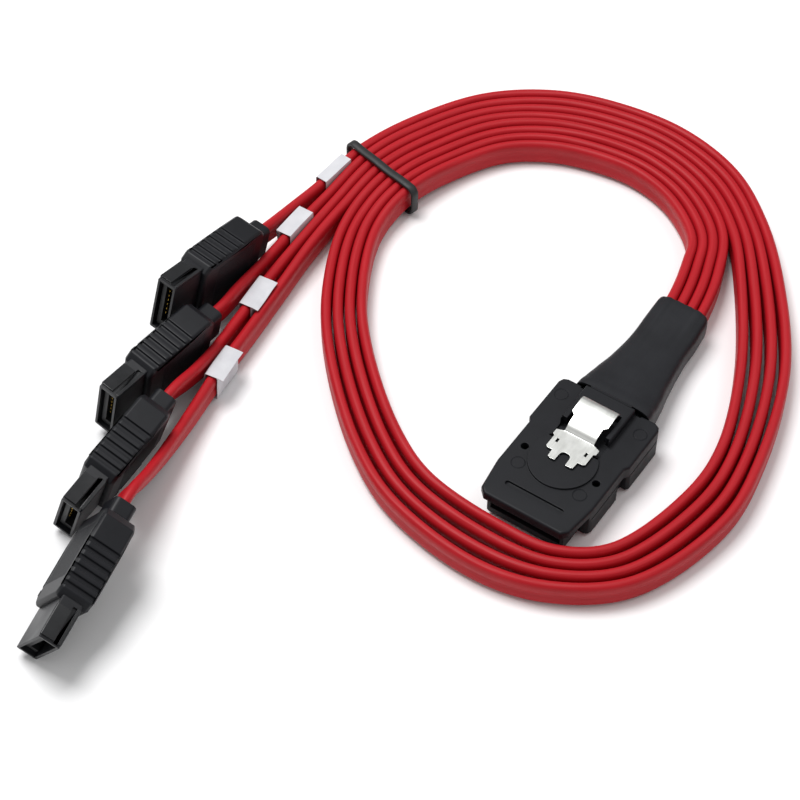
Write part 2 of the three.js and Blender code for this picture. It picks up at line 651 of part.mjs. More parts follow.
// SATA plug in its own frame: mouth at Y = 0 looking along -Y, broad sides facing X
function sataHead() {
  const outer = lengthwise(roundedRect(HEAD_WIDTH, HEAD_HEIGHT, HEAD_CORNER), 0, HEAD_LENGTH, 2);
  const [mouthWidth, mouthHeight] = [HEAD_WIDTH - 2 * HEAD_RIM, HEAD_HEIGHT - 2 * HEAD_RIM];
  const mouth = block(
    [-mouthWidth / 2, -1, -mouthHeight / 2], [mouthWidth / 2, MOUTH_DEPTH, mouthHeight / 2],
  );
  const [spigotWidth, spigotHeight] = [HEAD_WIDTH - 2 * SPIGOT_STEP, HEAD_HEIGHT - 2 * SPIGOT_STEP];
  const spigot = block(
    [-spigotWidth / 2, HEAD_LENGTH - 1, -spigotHeight / 2],
    [spigotWidth / 2, HEAD_LENGTH + SPIGOT_LENGTH, spigotHeight / 2],
  );
  const top = HEAD_HEIGHT / 2;
  const root = top - HEAD_RIM / 2;
  const keyPlate = block(
    [-HEAD_WIDTH / 2, KEY_SETBACK, root],
    [KEY_PLATE_WIDTH - HEAD_WIDTH / 2, KEY_SETBACK + KEY_PLATE_LENGTH, top + KEY_PLATE_HEIGHT],
  );
  const keyRail = block(
    [HEAD_WIDTH / 2 - KEY_RAIL_WIDTH, KEY_SETBACK, root],
    [HEAD_WIDTH / 2, KEY_SETBACK + KEY_RAIL_LENGTH, top + KEY_RAIL_HEIGHT],
  );
  return outer.add(spigot).add(keyPlate).add(keyRail).subtract(mouth);
}

// Insulator standing along one side of the mouth, with its foot and seven contacts
function sataInsert() {
  const wallX = -(HEAD_WIDTH / 2 - HEAD_RIM) + SEAT_GAP;
  const half = HEAD_HEIGHT / 2 - HEAD_RIM - SEAT_GAP;
  const [front, back] = [INSERT_SETBACK, MOUTH_DEPTH - SEAT_GAP];
  const face = wallX + INSERT_THICKNESS;
  let insert = block([wallX, front, -half], [face, back, half]);
  insert = insert.add(block([wallX, front, -half], [-wallX, back, -half + INSERT_FOOT]));
  for (let i = 0; i < CONTACT_COUNT; i += 1) {
    const z = INSERT_FOOT / 2 + (i - (CONTACT_COUNT - 1) / 2) * CONTACT_PITCH;
    insert = insert.add(block(
      [face - CONTACT_BEDDED, front + CONTACT_SETBACK, z - CONTACT_WIDTH / 2],
      [face + CONTACT_PROUD, back - CONTACT_SETBACK, z + CONTACT_WIDTH / 2],
    ));
  }
  return insert;
}

// Side view of the boot: front chamfer and rear shoulder
function bootProfile() {
  const half = BOOT_HEIGHT / 2;
  const upper = [
    [0, half - BOOT_CHAMFER], [BOOT_CHAMFER, half], [BOOT_LENGTH - REAR_SHOULDER, half],
    [BOOT_LENGTH, half - REAR_SHOULDER],
  ];
  const lower = upper.map(([y, z]) => [y, -z]).reverse();
  return new THREE.Shape([...upper, ...lower].reverse().map(([y, z]) => new THREE.Vector2(y, z)));
}

// Grooves between the grip ribs, across both narrow faces
function cutGrip(grip) {
  let cut = grip;
  const [floor, above] = [BOOT_HEIGHT / 2 - RIB_DEPTH, BOOT_HEIGHT];
  for (let i = 0; i < RIB_COUNT; i += 1) {
    const start = HEAD_LENGTH + SEAT_GAP + RIB_START + i * RIB_PITCH;
    const end = start + RIB_GROOVE;
    cut = cut.subtract(block([-BOOT_WIDTH, start, floor], [BOOT_WIDTH, end, above]));
    cut = cut.subtract(block([-BOOT_WIDTH, start, -above], [BOOT_WIDTH, end, -floor]));
  }
  return cut;
}

function sataBoot() {
  const grip = new THREE.ExtrudeGeometry(bootProfile(), {
    depth: BOOT_WIDTH - 2 * BOOT_EDGE, bevelEnabled: true, bevelThickness: BOOT_EDGE, bevelSize: BOOT_EDGE,
    bevelOffset: -BOOT_EDGE, bevelSegments: 1,
  });
  grip.rotateZ(Math.PI / 2).rotateY(Math.PI / 2);
  grip.translate(-BOOT_WIDTH / 2 + BOOT_EDGE, HEAD_LENGTH + SEAT_GAP, 0);
  const rear = HEAD_LENGTH + SEAT_GAP + BOOT_LENGTH;
  const nub = lengthwise(roundedRect(NUB_WIDTH, NUB_HEIGHT, NUB_CORNER), rear - 1, rear + NUB_LENGTH, 3);
  const socketHalf = [CABLE_THICKNESS / 2 + SOCKET_GAP, CABLE_HEIGHT / 2 + SOCKET_GAP];
  const socket = block(
    [-socketHalf[0], rear + NUB_LENGTH - SOCKET_DEPTH, -socketHalf[1]],
    [socketHalf[0], rear + NUB_LENGTH + 1, socketHalf[1]],
  );
  const pocketWidth = HEAD_WIDTH - 2 * SPIGOT_STEP + 2 * SEAT_GAP;
  const pocketHeight = HEAD_HEIGHT - 2 * SPIGOT_STEP + 2 * SEAT_GAP;
  const pocket = block(
    [-pocketWidth / 2, HEAD_LENGTH - 1, -pocketHeight / 2],
    [pocketWidth / 2, HEAD_LENGTH + SPIGOT_LENGTH + SEAT_GAP, pocketHeight / 2],
  );
  return cutGrip(solidOf(grip)).add(nub).subtract(socket).subtract(pocket);
}

function sataPlug(number, { x, y, heading, lift, lean }) {
  const group = new THREE.Group();
  addPiece(group, `sata_head_${number}`, sataHead(), SATA_BLACK);
  addPiece(group, `sata_contact_insert_${number}`, sataInsert(), CONTACT_GOLD);
  addPiece(group, `sata_boot_${number}`, sataBoot(), SATA_BLACK);
  const turn = THREE.MathUtils.degToRad;
  group.rotation.set(-turn(lift), turn(lean), turn(heading), 'ZXY');
  group.position.set(x, y, 0);
  group.position.z = -new THREE.Box3().setFromObject(group, true).min.z;
  return group;
}

addPiece(root, 'plug_upper_shell', plugUpperShell(), BLACK_PLASTIC);
addPiece(root, 'plug_lower_shell', plugLowerShell(), BLACK_PLASTIC);
addPiece(root, 'paddle_card', paddleCard(), CARD_GREEN);
addPiece(root, 'wire_mould', wireMould(), POTTING);
addPiece(root, 'latch', latch(), STEEL);
addPiece(root, 'shrink_sleeve', shrinkSleeve(), SLEEVE_BLACK);

const plugs = SATA_PLACES.map((place, i) => sataPlug(i + 1, place));
const courses = TAILS.map((_, cable) => cableCourse(cable, plugs[cable]));
courses.forEach((course, i) => addPiece(root, `cable_${i + 1}`, flatCable(course), CABLE_RED));
LABELS.forEach((label) => {
  addPiece(root, `marker_label_${label.cable + 1}`, markerLabel(courses[label.cable], label), LABEL_WHITE);
});

const tie = addPiece(root, 'cable_tie', strap(), STRAP_BLACK);
tie.position.set(STRAP_PLACE.x, STRAP_PLACE.y, STRAP_HEIGHT / 2);
tie.rotation.z = THREE.MathUtils.degToRad(STRAP_PLACE.heading);

root.add(...plugs);

export default root;
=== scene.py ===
"""Looks of the mini SAS breakout cable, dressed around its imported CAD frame. Metres, +Z up."""

import json
import logging
import math
from collections.abc import Callable
from dataclasses import dataclass, field
from enum import Enum
from itertools import pairwise

import bmesh
import bpy
from mathutils import Matrix, Vector


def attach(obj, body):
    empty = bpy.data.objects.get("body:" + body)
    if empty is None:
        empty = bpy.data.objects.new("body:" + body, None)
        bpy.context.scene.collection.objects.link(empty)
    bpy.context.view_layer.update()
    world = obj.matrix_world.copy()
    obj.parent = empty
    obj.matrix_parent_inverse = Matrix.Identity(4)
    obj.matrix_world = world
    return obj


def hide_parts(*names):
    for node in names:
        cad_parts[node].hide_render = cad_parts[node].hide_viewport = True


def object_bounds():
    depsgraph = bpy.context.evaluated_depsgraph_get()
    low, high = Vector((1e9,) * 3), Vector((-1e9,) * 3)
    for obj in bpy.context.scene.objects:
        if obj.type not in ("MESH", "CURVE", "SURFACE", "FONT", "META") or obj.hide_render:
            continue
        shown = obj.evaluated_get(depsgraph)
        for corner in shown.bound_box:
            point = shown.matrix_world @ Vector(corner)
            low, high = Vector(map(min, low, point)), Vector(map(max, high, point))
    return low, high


Material, Mesh, Object = bpy.types.Material, bpy.types.Mesh, bpy.types.Object
Socket = bpy.types.NodeSocket

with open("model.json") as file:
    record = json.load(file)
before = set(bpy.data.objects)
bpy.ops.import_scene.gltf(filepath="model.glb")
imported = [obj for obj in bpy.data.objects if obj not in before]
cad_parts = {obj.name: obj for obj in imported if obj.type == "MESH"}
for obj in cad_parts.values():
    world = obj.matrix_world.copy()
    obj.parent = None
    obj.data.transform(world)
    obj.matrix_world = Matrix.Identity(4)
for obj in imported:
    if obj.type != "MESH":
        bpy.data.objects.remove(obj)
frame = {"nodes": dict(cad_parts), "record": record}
CAD_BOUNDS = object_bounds()
MM = 0.001
LOG = logging.getLogger("breakout_cable")

CABLE_SET = "cable_set"
LATCH_SPRING = "latch_spring"

# Middle of the four-cable band in metres: x, y, z and the pitch of its lanes
LEAD_OUT = [
    (0, 0.022, 0.0042, 0.0025),
    (-0.0012, 0.051, 0.0039, 0.0025),
    (-0.0044, 0.0645, 0.00325, 0.00245),
]
TOP_BEND = [
    (-0.0052, 0.0771, 0.00315),
    (-0.0168, 0.0862, 0.00315),
    (-0.0306, 0.0902, 0.00315),
    (-0.044, 0.0893, 0.00315),
    (-0.0566, 0.0852, 0.00315),
    (-0.0677, 0.0769, 0.00315),
    (-0.0753, 0.064, 0.00325),
    (-0.0796, 0.0486, 0.00425),
]
LOOP = [
    (-0.0745, 0.0318, 0.0032, 0.00245),
    (-0.0656, 0.0127, 0.00315, 0.0026),
    (-0.0548, -0.0008, 0.00315, 0.00275),
    (-0.0365, -0.0166, 0.00315, 0.003),
    (-0.0232, -0.0236, 0.00315, 0.0032),
    (-0.0024, -0.0263, 0.00315, 0.0035),
    (0.0112, -0.0239, 0.00315, 0.00295),
    (0.0224, -0.0153, 0.00315, 0.00295),
    (0.0292, 0.0063, 0.00315, 0.00315),
    (0.0283, 0.0227, 0.00315, 0.0028),
    (0.0207, 0.0464, 0.00315, 0.00315),
    (0.0082, 0.0678, 0.00315, 0.0028),
]
# Each cable's own run from the tie to its plug: x, y, z in metres and its lean in degrees
TAILS = [
    [(-0.0892, 0.036, 0.0039, 0), (-0.0898, 0.0275, 0.0046, 2)],
    [
        (-0.0861, 0.034, 0.0035, 0),
        (-0.086, 0.022, 0.00375, 0),
        (-0.0853, 0.009, 0.0045, 3),
        (-0.0844, -0.001, 0.0064, 8),
    ],
    [
        (-0.0836, 0.034, 0.00325, 0),
        (-0.08295, 0.02, 0.00325, 0),
        (-0.0817, 0.006, 0.0038, 0),
        (-0.08, -0.007, 0.0042, 2),
        (-0.0784, -0.0185, 0.0054, 7),
        (-0.0773, -0.027, 0.0078, 14),
    ],
    [
        (-0.0812, 0.034, 0.00325, 0),
        (-0.0803, 0.02, 0.00325, 0),
        (-0.0785, 0.006, 0.00325, 0),
        (-0.0765, -0.008, 0.0035, 0),
        (-0.0746, -0.022, 0.0041, 2),
        (-0.0723, -0.034, 0.0047, 6),
        (-0.0698, -0.0455, 0.0067, 14),
        (-0.0676, -0.055, 0.0098, 25),
    ],
]
# Lanes count from the middle of the band; the two passes over the bend lie side by side
BAND_PITCH = 2.45 * MM
BEND_LANE = 2.0
FIRST_LANE = 1.5
RING_SPACING = 1.6 * MM


class Coordinates(Enum):
    """Where a finish takes the place of its grain from."""

    OBJECT = "object"
    PLUG_LOCAL = "plug_local"


def linear(code: str) -> tuple[float, float, float, float]:
    """Scene-linear colour.

    Args:
        code: The colour as sRGB hex, such as "#b5303a".

    Returns:
        Red, green, blue and an alpha of 1.
    """
    channels = [int(code[i : i + 2], 16) / 255 for i in (1, 3, 5)]
    light = [c / 12.92 if c <= 0.04045 else ((c + 0.055) / 1.055) ** 2.4 for c in channels]
    return (*light, 1.0)


class Graph:
    """Node tree of one material, with its principled shader and output in place."""

    def __init__(self, name: str) -> None:
        """Makes the material.

        Args:
            name: The material's name.
        """
        self.material = bpy.data.materials.new(name)
        self.material.use_nodes = True
        self.tree = self.material.node_tree
        self.tree.nodes.clear()
        self.shader = self.add("ShaderNodeBsdfPrincipled")
        self.add("ShaderNodeOutputMaterial", {"Surface": self.shader.outputs["BSDF"]})

    def add(self, kind: str, inputs: dict | None = None, **settings) -> bpy.types.Node:
        """Adds one node.

        Args:
            kind: The node's type name.
            inputs: Socket names with a value, or with the socket that feeds them.
            **settings: Properties of the node itself.

        Returns:
            The new node.
        """
        node = self.tree.nodes.new(kind)
        for key, value in settings.items():
            setattr(node, key, value)
        for key, value in (inputs or {}).items():
            if isinstance(value, Socket):
                self.tree.links.new(value, node.inputs[key])
            else:
                node.inputs[key].default_value = value
        return node

    def millimetres(self, source: Coordinates) -> Socket:
        """Position on the piece in millimetres.

        Args:
            source: The row frame, or the frame of the SATA plug it belongs to.

        Returns:
            A vector socket.
        """
        if source is Coordinates.PLUG_LOCAL:
            node = self.add("ShaderNodeAttribute", attribute_name=source.value)
            return node.outputs["Vector"]
        place = self.add("ShaderNodeTexCoord").outputs["Object"]
        scaled = self.add("ShaderNodeVectorMath", {0: place}, operation="SCALE")
        scaled.inputs["Scale"].default_value = 1 / MM
        return scaled.outputs["Vector"]

    def noise(
        self,
        vector: Socket,
        size: float,
        detail: float = 3.0,
        stretch: tuple[float, float, float] = (1, 1, 1),
    ) -> Socket:
        """Noise of a stated grain.

        Args:
            vector: Position in millimetres.
            size: Grain in millimetres.
            detail: Octaves.
            stretch: How many times longer the grain is along each axis.

        Returns:
            The noise's factor socket.
        """
        factors = [1 / (size * s) for s in stretch]
        scaled = self.add("ShaderNodeVectorMath", {0: vector, 1: factors}, operation="MULTIPLY")
        inputs = {"Vector": scaled.outputs["Vector"], "Scale": 1.0, "Detail": detail}
        return self.add("ShaderNodeTexNoise", inputs).outputs[0]

    def remap(
        self, value: Socket, source: tuple[float, float], target: tuple[float, float]
    ) -> Socket:
        """Value moved from one range to another, clamped.

        Args:
            value: The socket to read.
            source: Range that is read.
            target: Range that is given.

        Returns:
            A value socket.
        """
        inputs = {
            "Value": value,
            "From Min": source[0],
            "From Max": source[1],
            "To Min": target[0],
            "To Max": target[1],
        }
        return self.add("ShaderNodeMapRange", inputs).outputs["Result"]

    def ramp(self, value: Socket, stops: list[tuple[float, str]]) -> Socket:
        """Colour picked along a ramp.

        Args:
            value: The socket to read.
            stops: Positions from 0 to 1, each with its sRGB hex colour.

        Returns:
            A colour socket.
        """
        node = self.add("ShaderNodeValToRGB", {"Fac": value})
        elements = node.color_ramp.elements
        while len(elements) < len(stops):
            elements.new(0.5)
        for element, (place, code) in zip(elements, stops, strict=True):
            element.position = place
            element.color = linear(code)
        return node.outputs["Color"]

    def combine(self, operation: str, *values: Socket | float) -> Socket:
        """Arithmetic on values.

        Args:
            operation: The math node's operation.
            *values: Sockets or numbers.

        Returns:
            A value socket.
        """
        node = self.add("ShaderNodeMath", dict(enumerate(values)), operation=operation)
        return node.outputs[0]

    def relief(self, height: Socket, depth: float, under: Socket | None = None) -> Socket:
        """Bump of a real depth.

        Args:
            height: Height socket, from 0 to 1.
            depth: Depth in millimetres at height 1.
            under: Normal that it is added to.

        Returns:
            A normal socket.
        """
        inputs = {"Height": height, "Distance": depth * MM, "Strength": 1.0}
        if under is not None:
            inputs["Normal"] = under
        return self.add("ShaderNodeBump", inputs).outputs["Normal"]

    def shade(self, **sockets) -> Material:
        """Feeds the principled shader.

        Args:
            **sockets: Shader socket names, with _ for a space, and what feeds them.

        Returns:
            The finished material.
        """
        for key, value in sockets.items():
            socket = self.shader.inputs[key.replace("_", " ")]
            if isinstance(value, Socket):
                self.tree.links.new(value, socket)
            else:
                socket.default_value = value
        return self.material


@dataclass(frozen=True)
class Finish:
    """Surface of one real material."""

    name: str

    def build(self) -> Material:
        """Makes the material.

        Returns:
            The material.
        """
        graph = Graph(self.name)
        return graph.shade(**self.sockets(graph))

    def sockets(self, graph: Graph) -> dict[str, Socket | float | tuple]:
        """What feeds the shader.

        Args:
            graph: The material's graph.

        Returns:
            Shader socket names, with _ for a space, and what feeds them.
        """
        raise NotImplementedError


@dataclass(frozen=True)
class MouldedPlastic(Finish):
    """Glass-filled polyester moulding with a spark-eroded skin and faint flow mottling."""

    dark: str
    light: str
    roughness: float
    grain: float = 0.28
    depth: float = 0.02
    gloss: float = 0.4
    coordinates: Coordinates = Coordinates.OBJECT
    pin_marks: tuple[tuple[float, float], ...] = ()
    pin_radius: float = 1.45
    pin_edge: float = 0.16
    pin_depth: float = 0.09

    def marks(self, graph: Graph, place: Socket) -> Socket:
        """Rings that the ejector pins left.

        Args:
            graph: The material's graph.
            place: Position in millimetres.

        Returns:
            A height socket, lower on the rings.
        """
        inputs = {0: place, 1: (1, 1, 0)}
        flat = graph.add("ShaderNodeVectorMath", inputs, operation="MULTIPLY").outputs["Vector"]
        height = None
        for x, y in self.pin_marks:
            inputs = {0: flat, 1: (x, y, 0)}
            away = graph.add("ShaderNodeVectorMath", inputs, operation="DISTANCE").outputs["Value"]
            edge = graph.combine("ABSOLUTE", graph.combine("SUBTRACT", away, self.pin_radius))
            ring = graph.remap(edge, (0.0, self.pin_edge), (0, 1))
            height = ring if height is None else graph.combine("MULTIPLY", height, ring)
        return height

    def sockets(self, graph: Graph) -> dict[str, Socket | float | tuple]:
        """Overrides Finish.sockets."""
        place = graph.millimetres(self.coordinates)
        skin = graph.noise(place, self.grain, 2.0)
        flow = graph.noise(place, 6.0, 4.0)
        rough = graph.remap(flow, (0.3, 0.7), (self.roughness - 0.05, self.roughness + 0.07))
        normal = graph.relief(skin, self.depth)
        if self.pin_marks:
            normal = graph.relief(self.marks(graph, place), self.pin_depth, normal)
        return dict(
            Base_Color=graph.ramp(flow, [(0.3, self.dark), (0.75, self.light)]),
            Roughness=rough,
            Specular_IOR_Level=self.gloss,
            Normal=normal,
        )


@dataclass(frozen=True)
class GripPlastic(Finish):
    """Overmoulded grip: satin skin, with a rough spark-eroded panel on each broad side."""

    name: str = "sata_boot_pvc_overmould"
    dark: str = "#121317"
    light: str = "#191a1e"
    panel_start: float = 13.4
    panel_end: float = 26.4
    panel_half_height: float = 5.9
    panel_side: float = 3.2
    side_blend: float = 0.2
    edge_blend: float = 0.15
    panel_depth: float = 0.12
    panel_grain: float = 0.34

    def sockets(self, graph: Graph) -> dict[str, Socket | float | tuple]:
        """Overrides Finish.sockets."""
        place = graph.millimetres(Coordinates.PLUG_LOCAL)
        parts = graph.add("ShaderNodeSeparateXYZ", {0: place}).outputs
        broad = graph.combine("ABSOLUTE", parts["X"])
        side = graph.remap(broad, (self.panel_side, self.panel_side + self.side_blend), (0, 1))
        tall = graph.combine("ABSOLUTE", parts["Z"])
        top, start, end, blend = self.panel_half_height, self.panel_start, self.panel_end, self.edge_blend
        inside = graph.remap(tall, (top, top - blend), (0, 1))
        front = graph.remap(parts["Y"], (start, start + blend), (0, 1))
        rear = graph.remap(parts["Y"], (end, end - blend), (0, 1))
        span = graph.combine("MULTIPLY", front, rear)
        panel = graph.combine("MULTIPLY", graph.combine("MULTIPLY", side, inside), span)
        coarse = graph.combine("MULTIPLY", graph.noise(place, self.panel_grain, 2.0), panel)
        sunk = graph.relief(graph.remap(panel, (0, 1), (1, 0)), self.panel_depth)
        skin = graph.relief(graph.noise(place, 0.16, 2.0), 0.008, sunk)
        flow = graph.noise(place, 5.0, 3.0)
        return dict(
            Base_Color=graph.ramp(flow, [(0.3, self.dark), (0.75, self.light)]),
            Roughness=graph.remap(panel, (0, 1), (0.44, 0.62)),
            Specular_IOR_Level=0.24,
            Normal=graph.relief(coarse, 0.07, skin),
        )


@dataclass(frozen=True)
class HeatShrink(Finish):
    """Polyolefin heat-shrink tube: satin, with soft ripples drawn out along its length."""

    name: str = "sleeve_polyolefin_heat_shrink"

    def sockets(self, graph: Graph) -> dict[str, Socket | float | tuple]:
        """Overrides Finish.sockets."""
        place = graph.millimetres(Coordinates.OBJECT)
        ripple = graph.noise(place, 1.6, 3.0, (1, 7, 1))
        peel = graph.noise(place, 0.22, 2.0)
        flow = graph.noise(place, 7.0, 3.0)
        normal = graph.relief(peel, 0.012, graph.relief(ripple, 0.11))
        return dict(
            Base_Color=graph.ramp(flow, [(0.3, "#17181c"), (0.75, "#1f2024")]),
            Roughness=graph.remap(peel, (0.3, 0.7), (0.42, 0.54)),
            Specular_IOR_Level=0.24,
            Normal=normal,
        )


@dataclass(frozen=True)
class RolledSteel(Finish):
    """Bright stainless spring strip, polished by rolling along its length."""

    name: str = "latch_stainless_strip"

    def sockets(self, graph: Graph) -> dict[str, Socket | float | tuple]:
        """Overrides Finish.sockets."""
        place = graph.millimetres(Coordinates.OBJECT)
        streak = graph.noise(place, 0.09, 3.0, (1, 30, 1))
        wear = graph.noise(place, 2.5, 3.0)
        return dict(
            Base_Color=graph.ramp(wear, [(0.3, "#d2d3cf"), (0.7, "#e2e3e0")]),
            Metallic=1.0,
            Roughness=graph.remap(streak, (0.3, 0.7), (0.3, 0.4)),
            Normal=graph.relief(streak, 0.002),
        )


@dataclass(frozen=True)
class ExtrudedJacket(Finish):
    """Red cable jacket: satin, with die lines along the run and a slightly uneven pull."""

    name: str = "cable_pvc_jacket_red"

    def sockets(self, graph: Graph) -> dict[str, Socket | float | tuple]:
        """Overrides Finish.sockets."""
        run = graph.add("ShaderNodeAttribute", attribute_name="run").outputs["Vector"]
        lines = graph.noise(run, 0.16, 2.0, (1, 90, 1))
        pull = graph.noise(run, 2.2, 3.0, (1, 5, 1))
        skin = graph.noise(graph.millimetres(Coordinates.OBJECT), 0.2, 2.0)
        normal = graph.relief(skin, 0.006, graph.relief(lines, 0.01))
        normal = graph.relief(pull, 0.09, normal)
        return dict(
            Base_Color=graph.ramp(pull, [(0.25, "#a30f1a"), (0.75, "#b11722")]),
            Roughness=graph.remap(lines, (0.3, 0.7), (0.42, 0.52)),
            Specular_IOR_Level=0.24,
            Subsurface_Weight=0.04,
            Subsurface_Radius=(0.0012, 0.0004, 0.0003),
            Normal=normal,
        )


@dataclass(frozen=True)
class LabelFilm(Finish):
    """White polyester label film, left bare, with a faint tooth."""

    name: str = "label_polyester_film"

    def sockets(self, graph: Graph) -> dict[str, Socket | float | tuple]:
        """Overrides Finish.sockets."""
        place = graph.millimetres(Coordinates.OBJECT)
        cockle = graph.noise(place, 3.2, 2.0)
        tooth = graph.noise(place, 0.12, 2.0)
        return dict(
            Base_Color=graph.ramp(cockle, [(0.3, "#c3c3c8"), (0.7, "#cdcdd1")]),
            Roughness=graph.remap(tooth, (0.3, 0.7), (0.42, 0.55)),
            Normal=graph.relief(tooth, 0.004, graph.relief(cockle, 0.12)),
        )


@dataclass(frozen=True)
class TieRubber(Finish):
    """Black elastomer of the tie, matt, with fine mould texture."""

    name: str = "tie_silicone_rubber"

    def sockets(self, graph: Graph) -> dict[str, Socket | float | tuple]:
        """Overrides Finish.sockets."""
        place = graph.millimetres(Coordinates.OBJECT)
        skin = graph.noise(place, 0.25, 3.0)
        return dict(
            Base_Color=graph.ramp(skin, [(0.3, "#121314"), (0.7, "#1b1c1e")]),
            Roughness=graph.remap(skin, (0.3, 0.7), (0.48, 0.62)),
            Normal=graph.relief(skin, 0.02),
        )


@dataclass(frozen=True)
class GoldContact(Finish):
    """Gold over nickel on the contacts, slightly streaked."""

    name: str = "contact_gold_plate"

    def sockets(self, graph: Graph) -> dict[str, Socket | float | tuple]:
        """Overrides Finish.sockets."""
        wear = graph.noise(graph.millimetres(Coordinates.OBJECT), 0.3, 3.0)
        return dict(
            Base_Color=graph.ramp(wear, [(0.3, "#b8923c"), (0.7, "#d3ae57")]),
            Metallic=1.0,
            Roughness=graph.remap(wear, (0.3, 0.7), (0.22, 0.34)),
        )


@dataclass(frozen=True)
class CardLaminate(Finish):
    """Solder-masked glass laminate with the weave showing faintly."""

    name: str = "card_solder_mask"

    def sockets(self, graph: Graph) -> dict[str, Socket | float | tuple]:
        """Overrides Finish.sockets."""
        weave = graph.noise(graph.millimetres(Coordinates.OBJECT), 0.5, 2.0)
        return dict(
            Base_Color=graph.ramp(weave, [(0.3, "#17402b"), (0.7, "#205338")]),
            Roughness=0.35,
            Normal=graph.relief(weave, 0.01),
        )


# Ejector-pin marks on the plug's top, in millimetres
PIN_MARKS = ((-9.6, 12.9), (9.6, 12.9), (-7.4, -7.5), (7.4, -7.5))


class Finishes:
    """Every material of the cable, made once."""

    def __init__(self) -> None:
        """Makes the materials."""
        local = {"coordinates": Coordinates.PLUG_LOCAL}
        # Shells of the mini SAS plug: black glass-filled PBT
        plug = MouldedPlastic("plug_pbt_black", "#121317", "#18191d", 0.5, gloss=0.2, pin_marks=PIN_MARKS)
        # SATA heads and their polished key plates: the same PBT from finer moulds
        head = MouldedPlastic("sata_head_pbt", "#111216", "#18191d", 0.42, 0.2, 0.01, **local)
        # Key plates: real polish in their low roughness, and a lighter colour than the head that is
        # painted sheen
        key = MouldedPlastic("sata_key_pbt_painted_sheen", "#191a1c", "#222325", 0.22, 0.5, 0.004, **local)
        # Contact insulators: liquid-crystal polymer
        insulator = MouldedPlastic("sata_lcp", "#0f1011", "#161719", 0.5, 0.2, 0.01, **local)
        # Wire mould: black hot melt
        potting = MouldedPlastic("plug_hot_melt", "#111214", "#191a1c", 0.6, 0.8, 0.04)
        self.plug, self.head, self.key = plug.build(), head.build(), key.build()
        self.insulator, self.potting = insulator.build(), potting.build()
        self.boot = GripPlastic().build()
        self.sleeve = HeatShrink().build()
        self.steel = RolledSteel().build()
        self.jacket = ExtrudedJacket().build()
        self.label = LabelFilm().build()
        self.rubber = TieRubber().build()
        self.gold = GoldContact().build()
        self.card = CardLaminate().build()


def make_piece(name: str, mesh: Mesh, body: str, nodes: list[str]) -> Object:
    """Links a mesh as one piece of the object.

    Args:
        name: The piece's name.
        mesh: Its mesh, in the row frame.
        body: CAD body that it rides on.
        nodes: CAD nodes that it stands for.

    Returns:
        The new object.
    """
    piece = bpy.data.objects.new(name, mesh)
    bpy.context.scene.collection.objects.link(piece)
    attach(piece, body)
    if nodes:
        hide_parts(*nodes)
    return piece


def smooth_to(mesh: Mesh, angle: float) -> None:
    """Shades a mesh smooth except at sharp edges.

    Args:
        mesh: The mesh.
        angle: Degrees above which an edge stays sharp.
    """
    mesh.shade_smooth()
    mesh.set_sharp_from_angle(angle=math.radians(angle))


def mesh_of(name: str, points: list, faces: list, material: Material, angle: float = 40.0) -> Mesh:
    """Mesh from points and faces with outward normals.

    Args:
        name: The mesh's name.
        points: Vertex places.
        faces: Vertex numbers of each face.
        material: Its material.
        angle: Degrees above which an edge stays sharp.

    Returns:
        The mesh.
    """
    mesh = bpy.data.meshes.new(name)
    mesh.from_pydata([tuple(p) for p in points], [], faces)
    work = bmesh.new()
    work.from_mesh(mesh)
    bmesh.ops.recalc_face_normals(work, faces=work.faces)
    work.to_mesh(mesh)
    work.free()
    mesh.materials.append(material)
    smooth_to(mesh, angle)
    return mesh


def lofted(rings: list[list[Vector]], capped: bool = True) -> tuple[list, list]:
    """Skin over rings of points.

    Args:
        rings: Rings with the same number of points each.
        capped: Whether the two ends are closed.

    Returns:
        Points and faces.
    """
    count = len(rings[0])
    points = [p for ring in rings for p in ring]
    faces = [
        (a * count + i, a * count + (i + 1) % count, b * count + (i + 1) % count, b * count + i)
        for a, b in pairwise(range(len(rings)))
        for i in range(count)
    ]
    if capped:
        faces.append(tuple(range(count)))
        last = (len(rings) - 1) * count
        faces.append(tuple(last + i for i in reversed(range(count))))
    return points, faces


def looped(rings: list[list[Vector]]) -> tuple[list, list]:
    """Skin over rings of which the last joins the first.

    Args:
        rings: Rings with the same number of points each.

    Returns:
        Points and faces.
    """
    count, last = len(rings[0]), (len(rings) - 1) * len(rings[0])
    points, faces = lofted(rings, capped=False)
    faces += [(last + i, last + (i + 1) % count, (i + 1) % count, i) for i in range(count)]
    return points, faces


def evaluated(mesh: Mesh, dress: Callable[[Object], None]) -> Mesh:
    """Plain mesh after modifiers.

    Args:
        mesh: Mesh that the modifiers start from.
        dress: Function that adds the modifiers to a carrier object.

    Returns:
        The new mesh.
    """
    carrier = bpy.data.objects.new("carrier", mesh)
    bpy.context.scene.collection.objects.link(carrier)
    dress(carrier)
    graph = bpy.context.evaluated_depsgraph_get()
    made = bpy.data.meshes.new_from_object(carrier.evaluated_get(graph), depsgraph=graph)
    bpy.data.objects.remove(carrier)
    return made


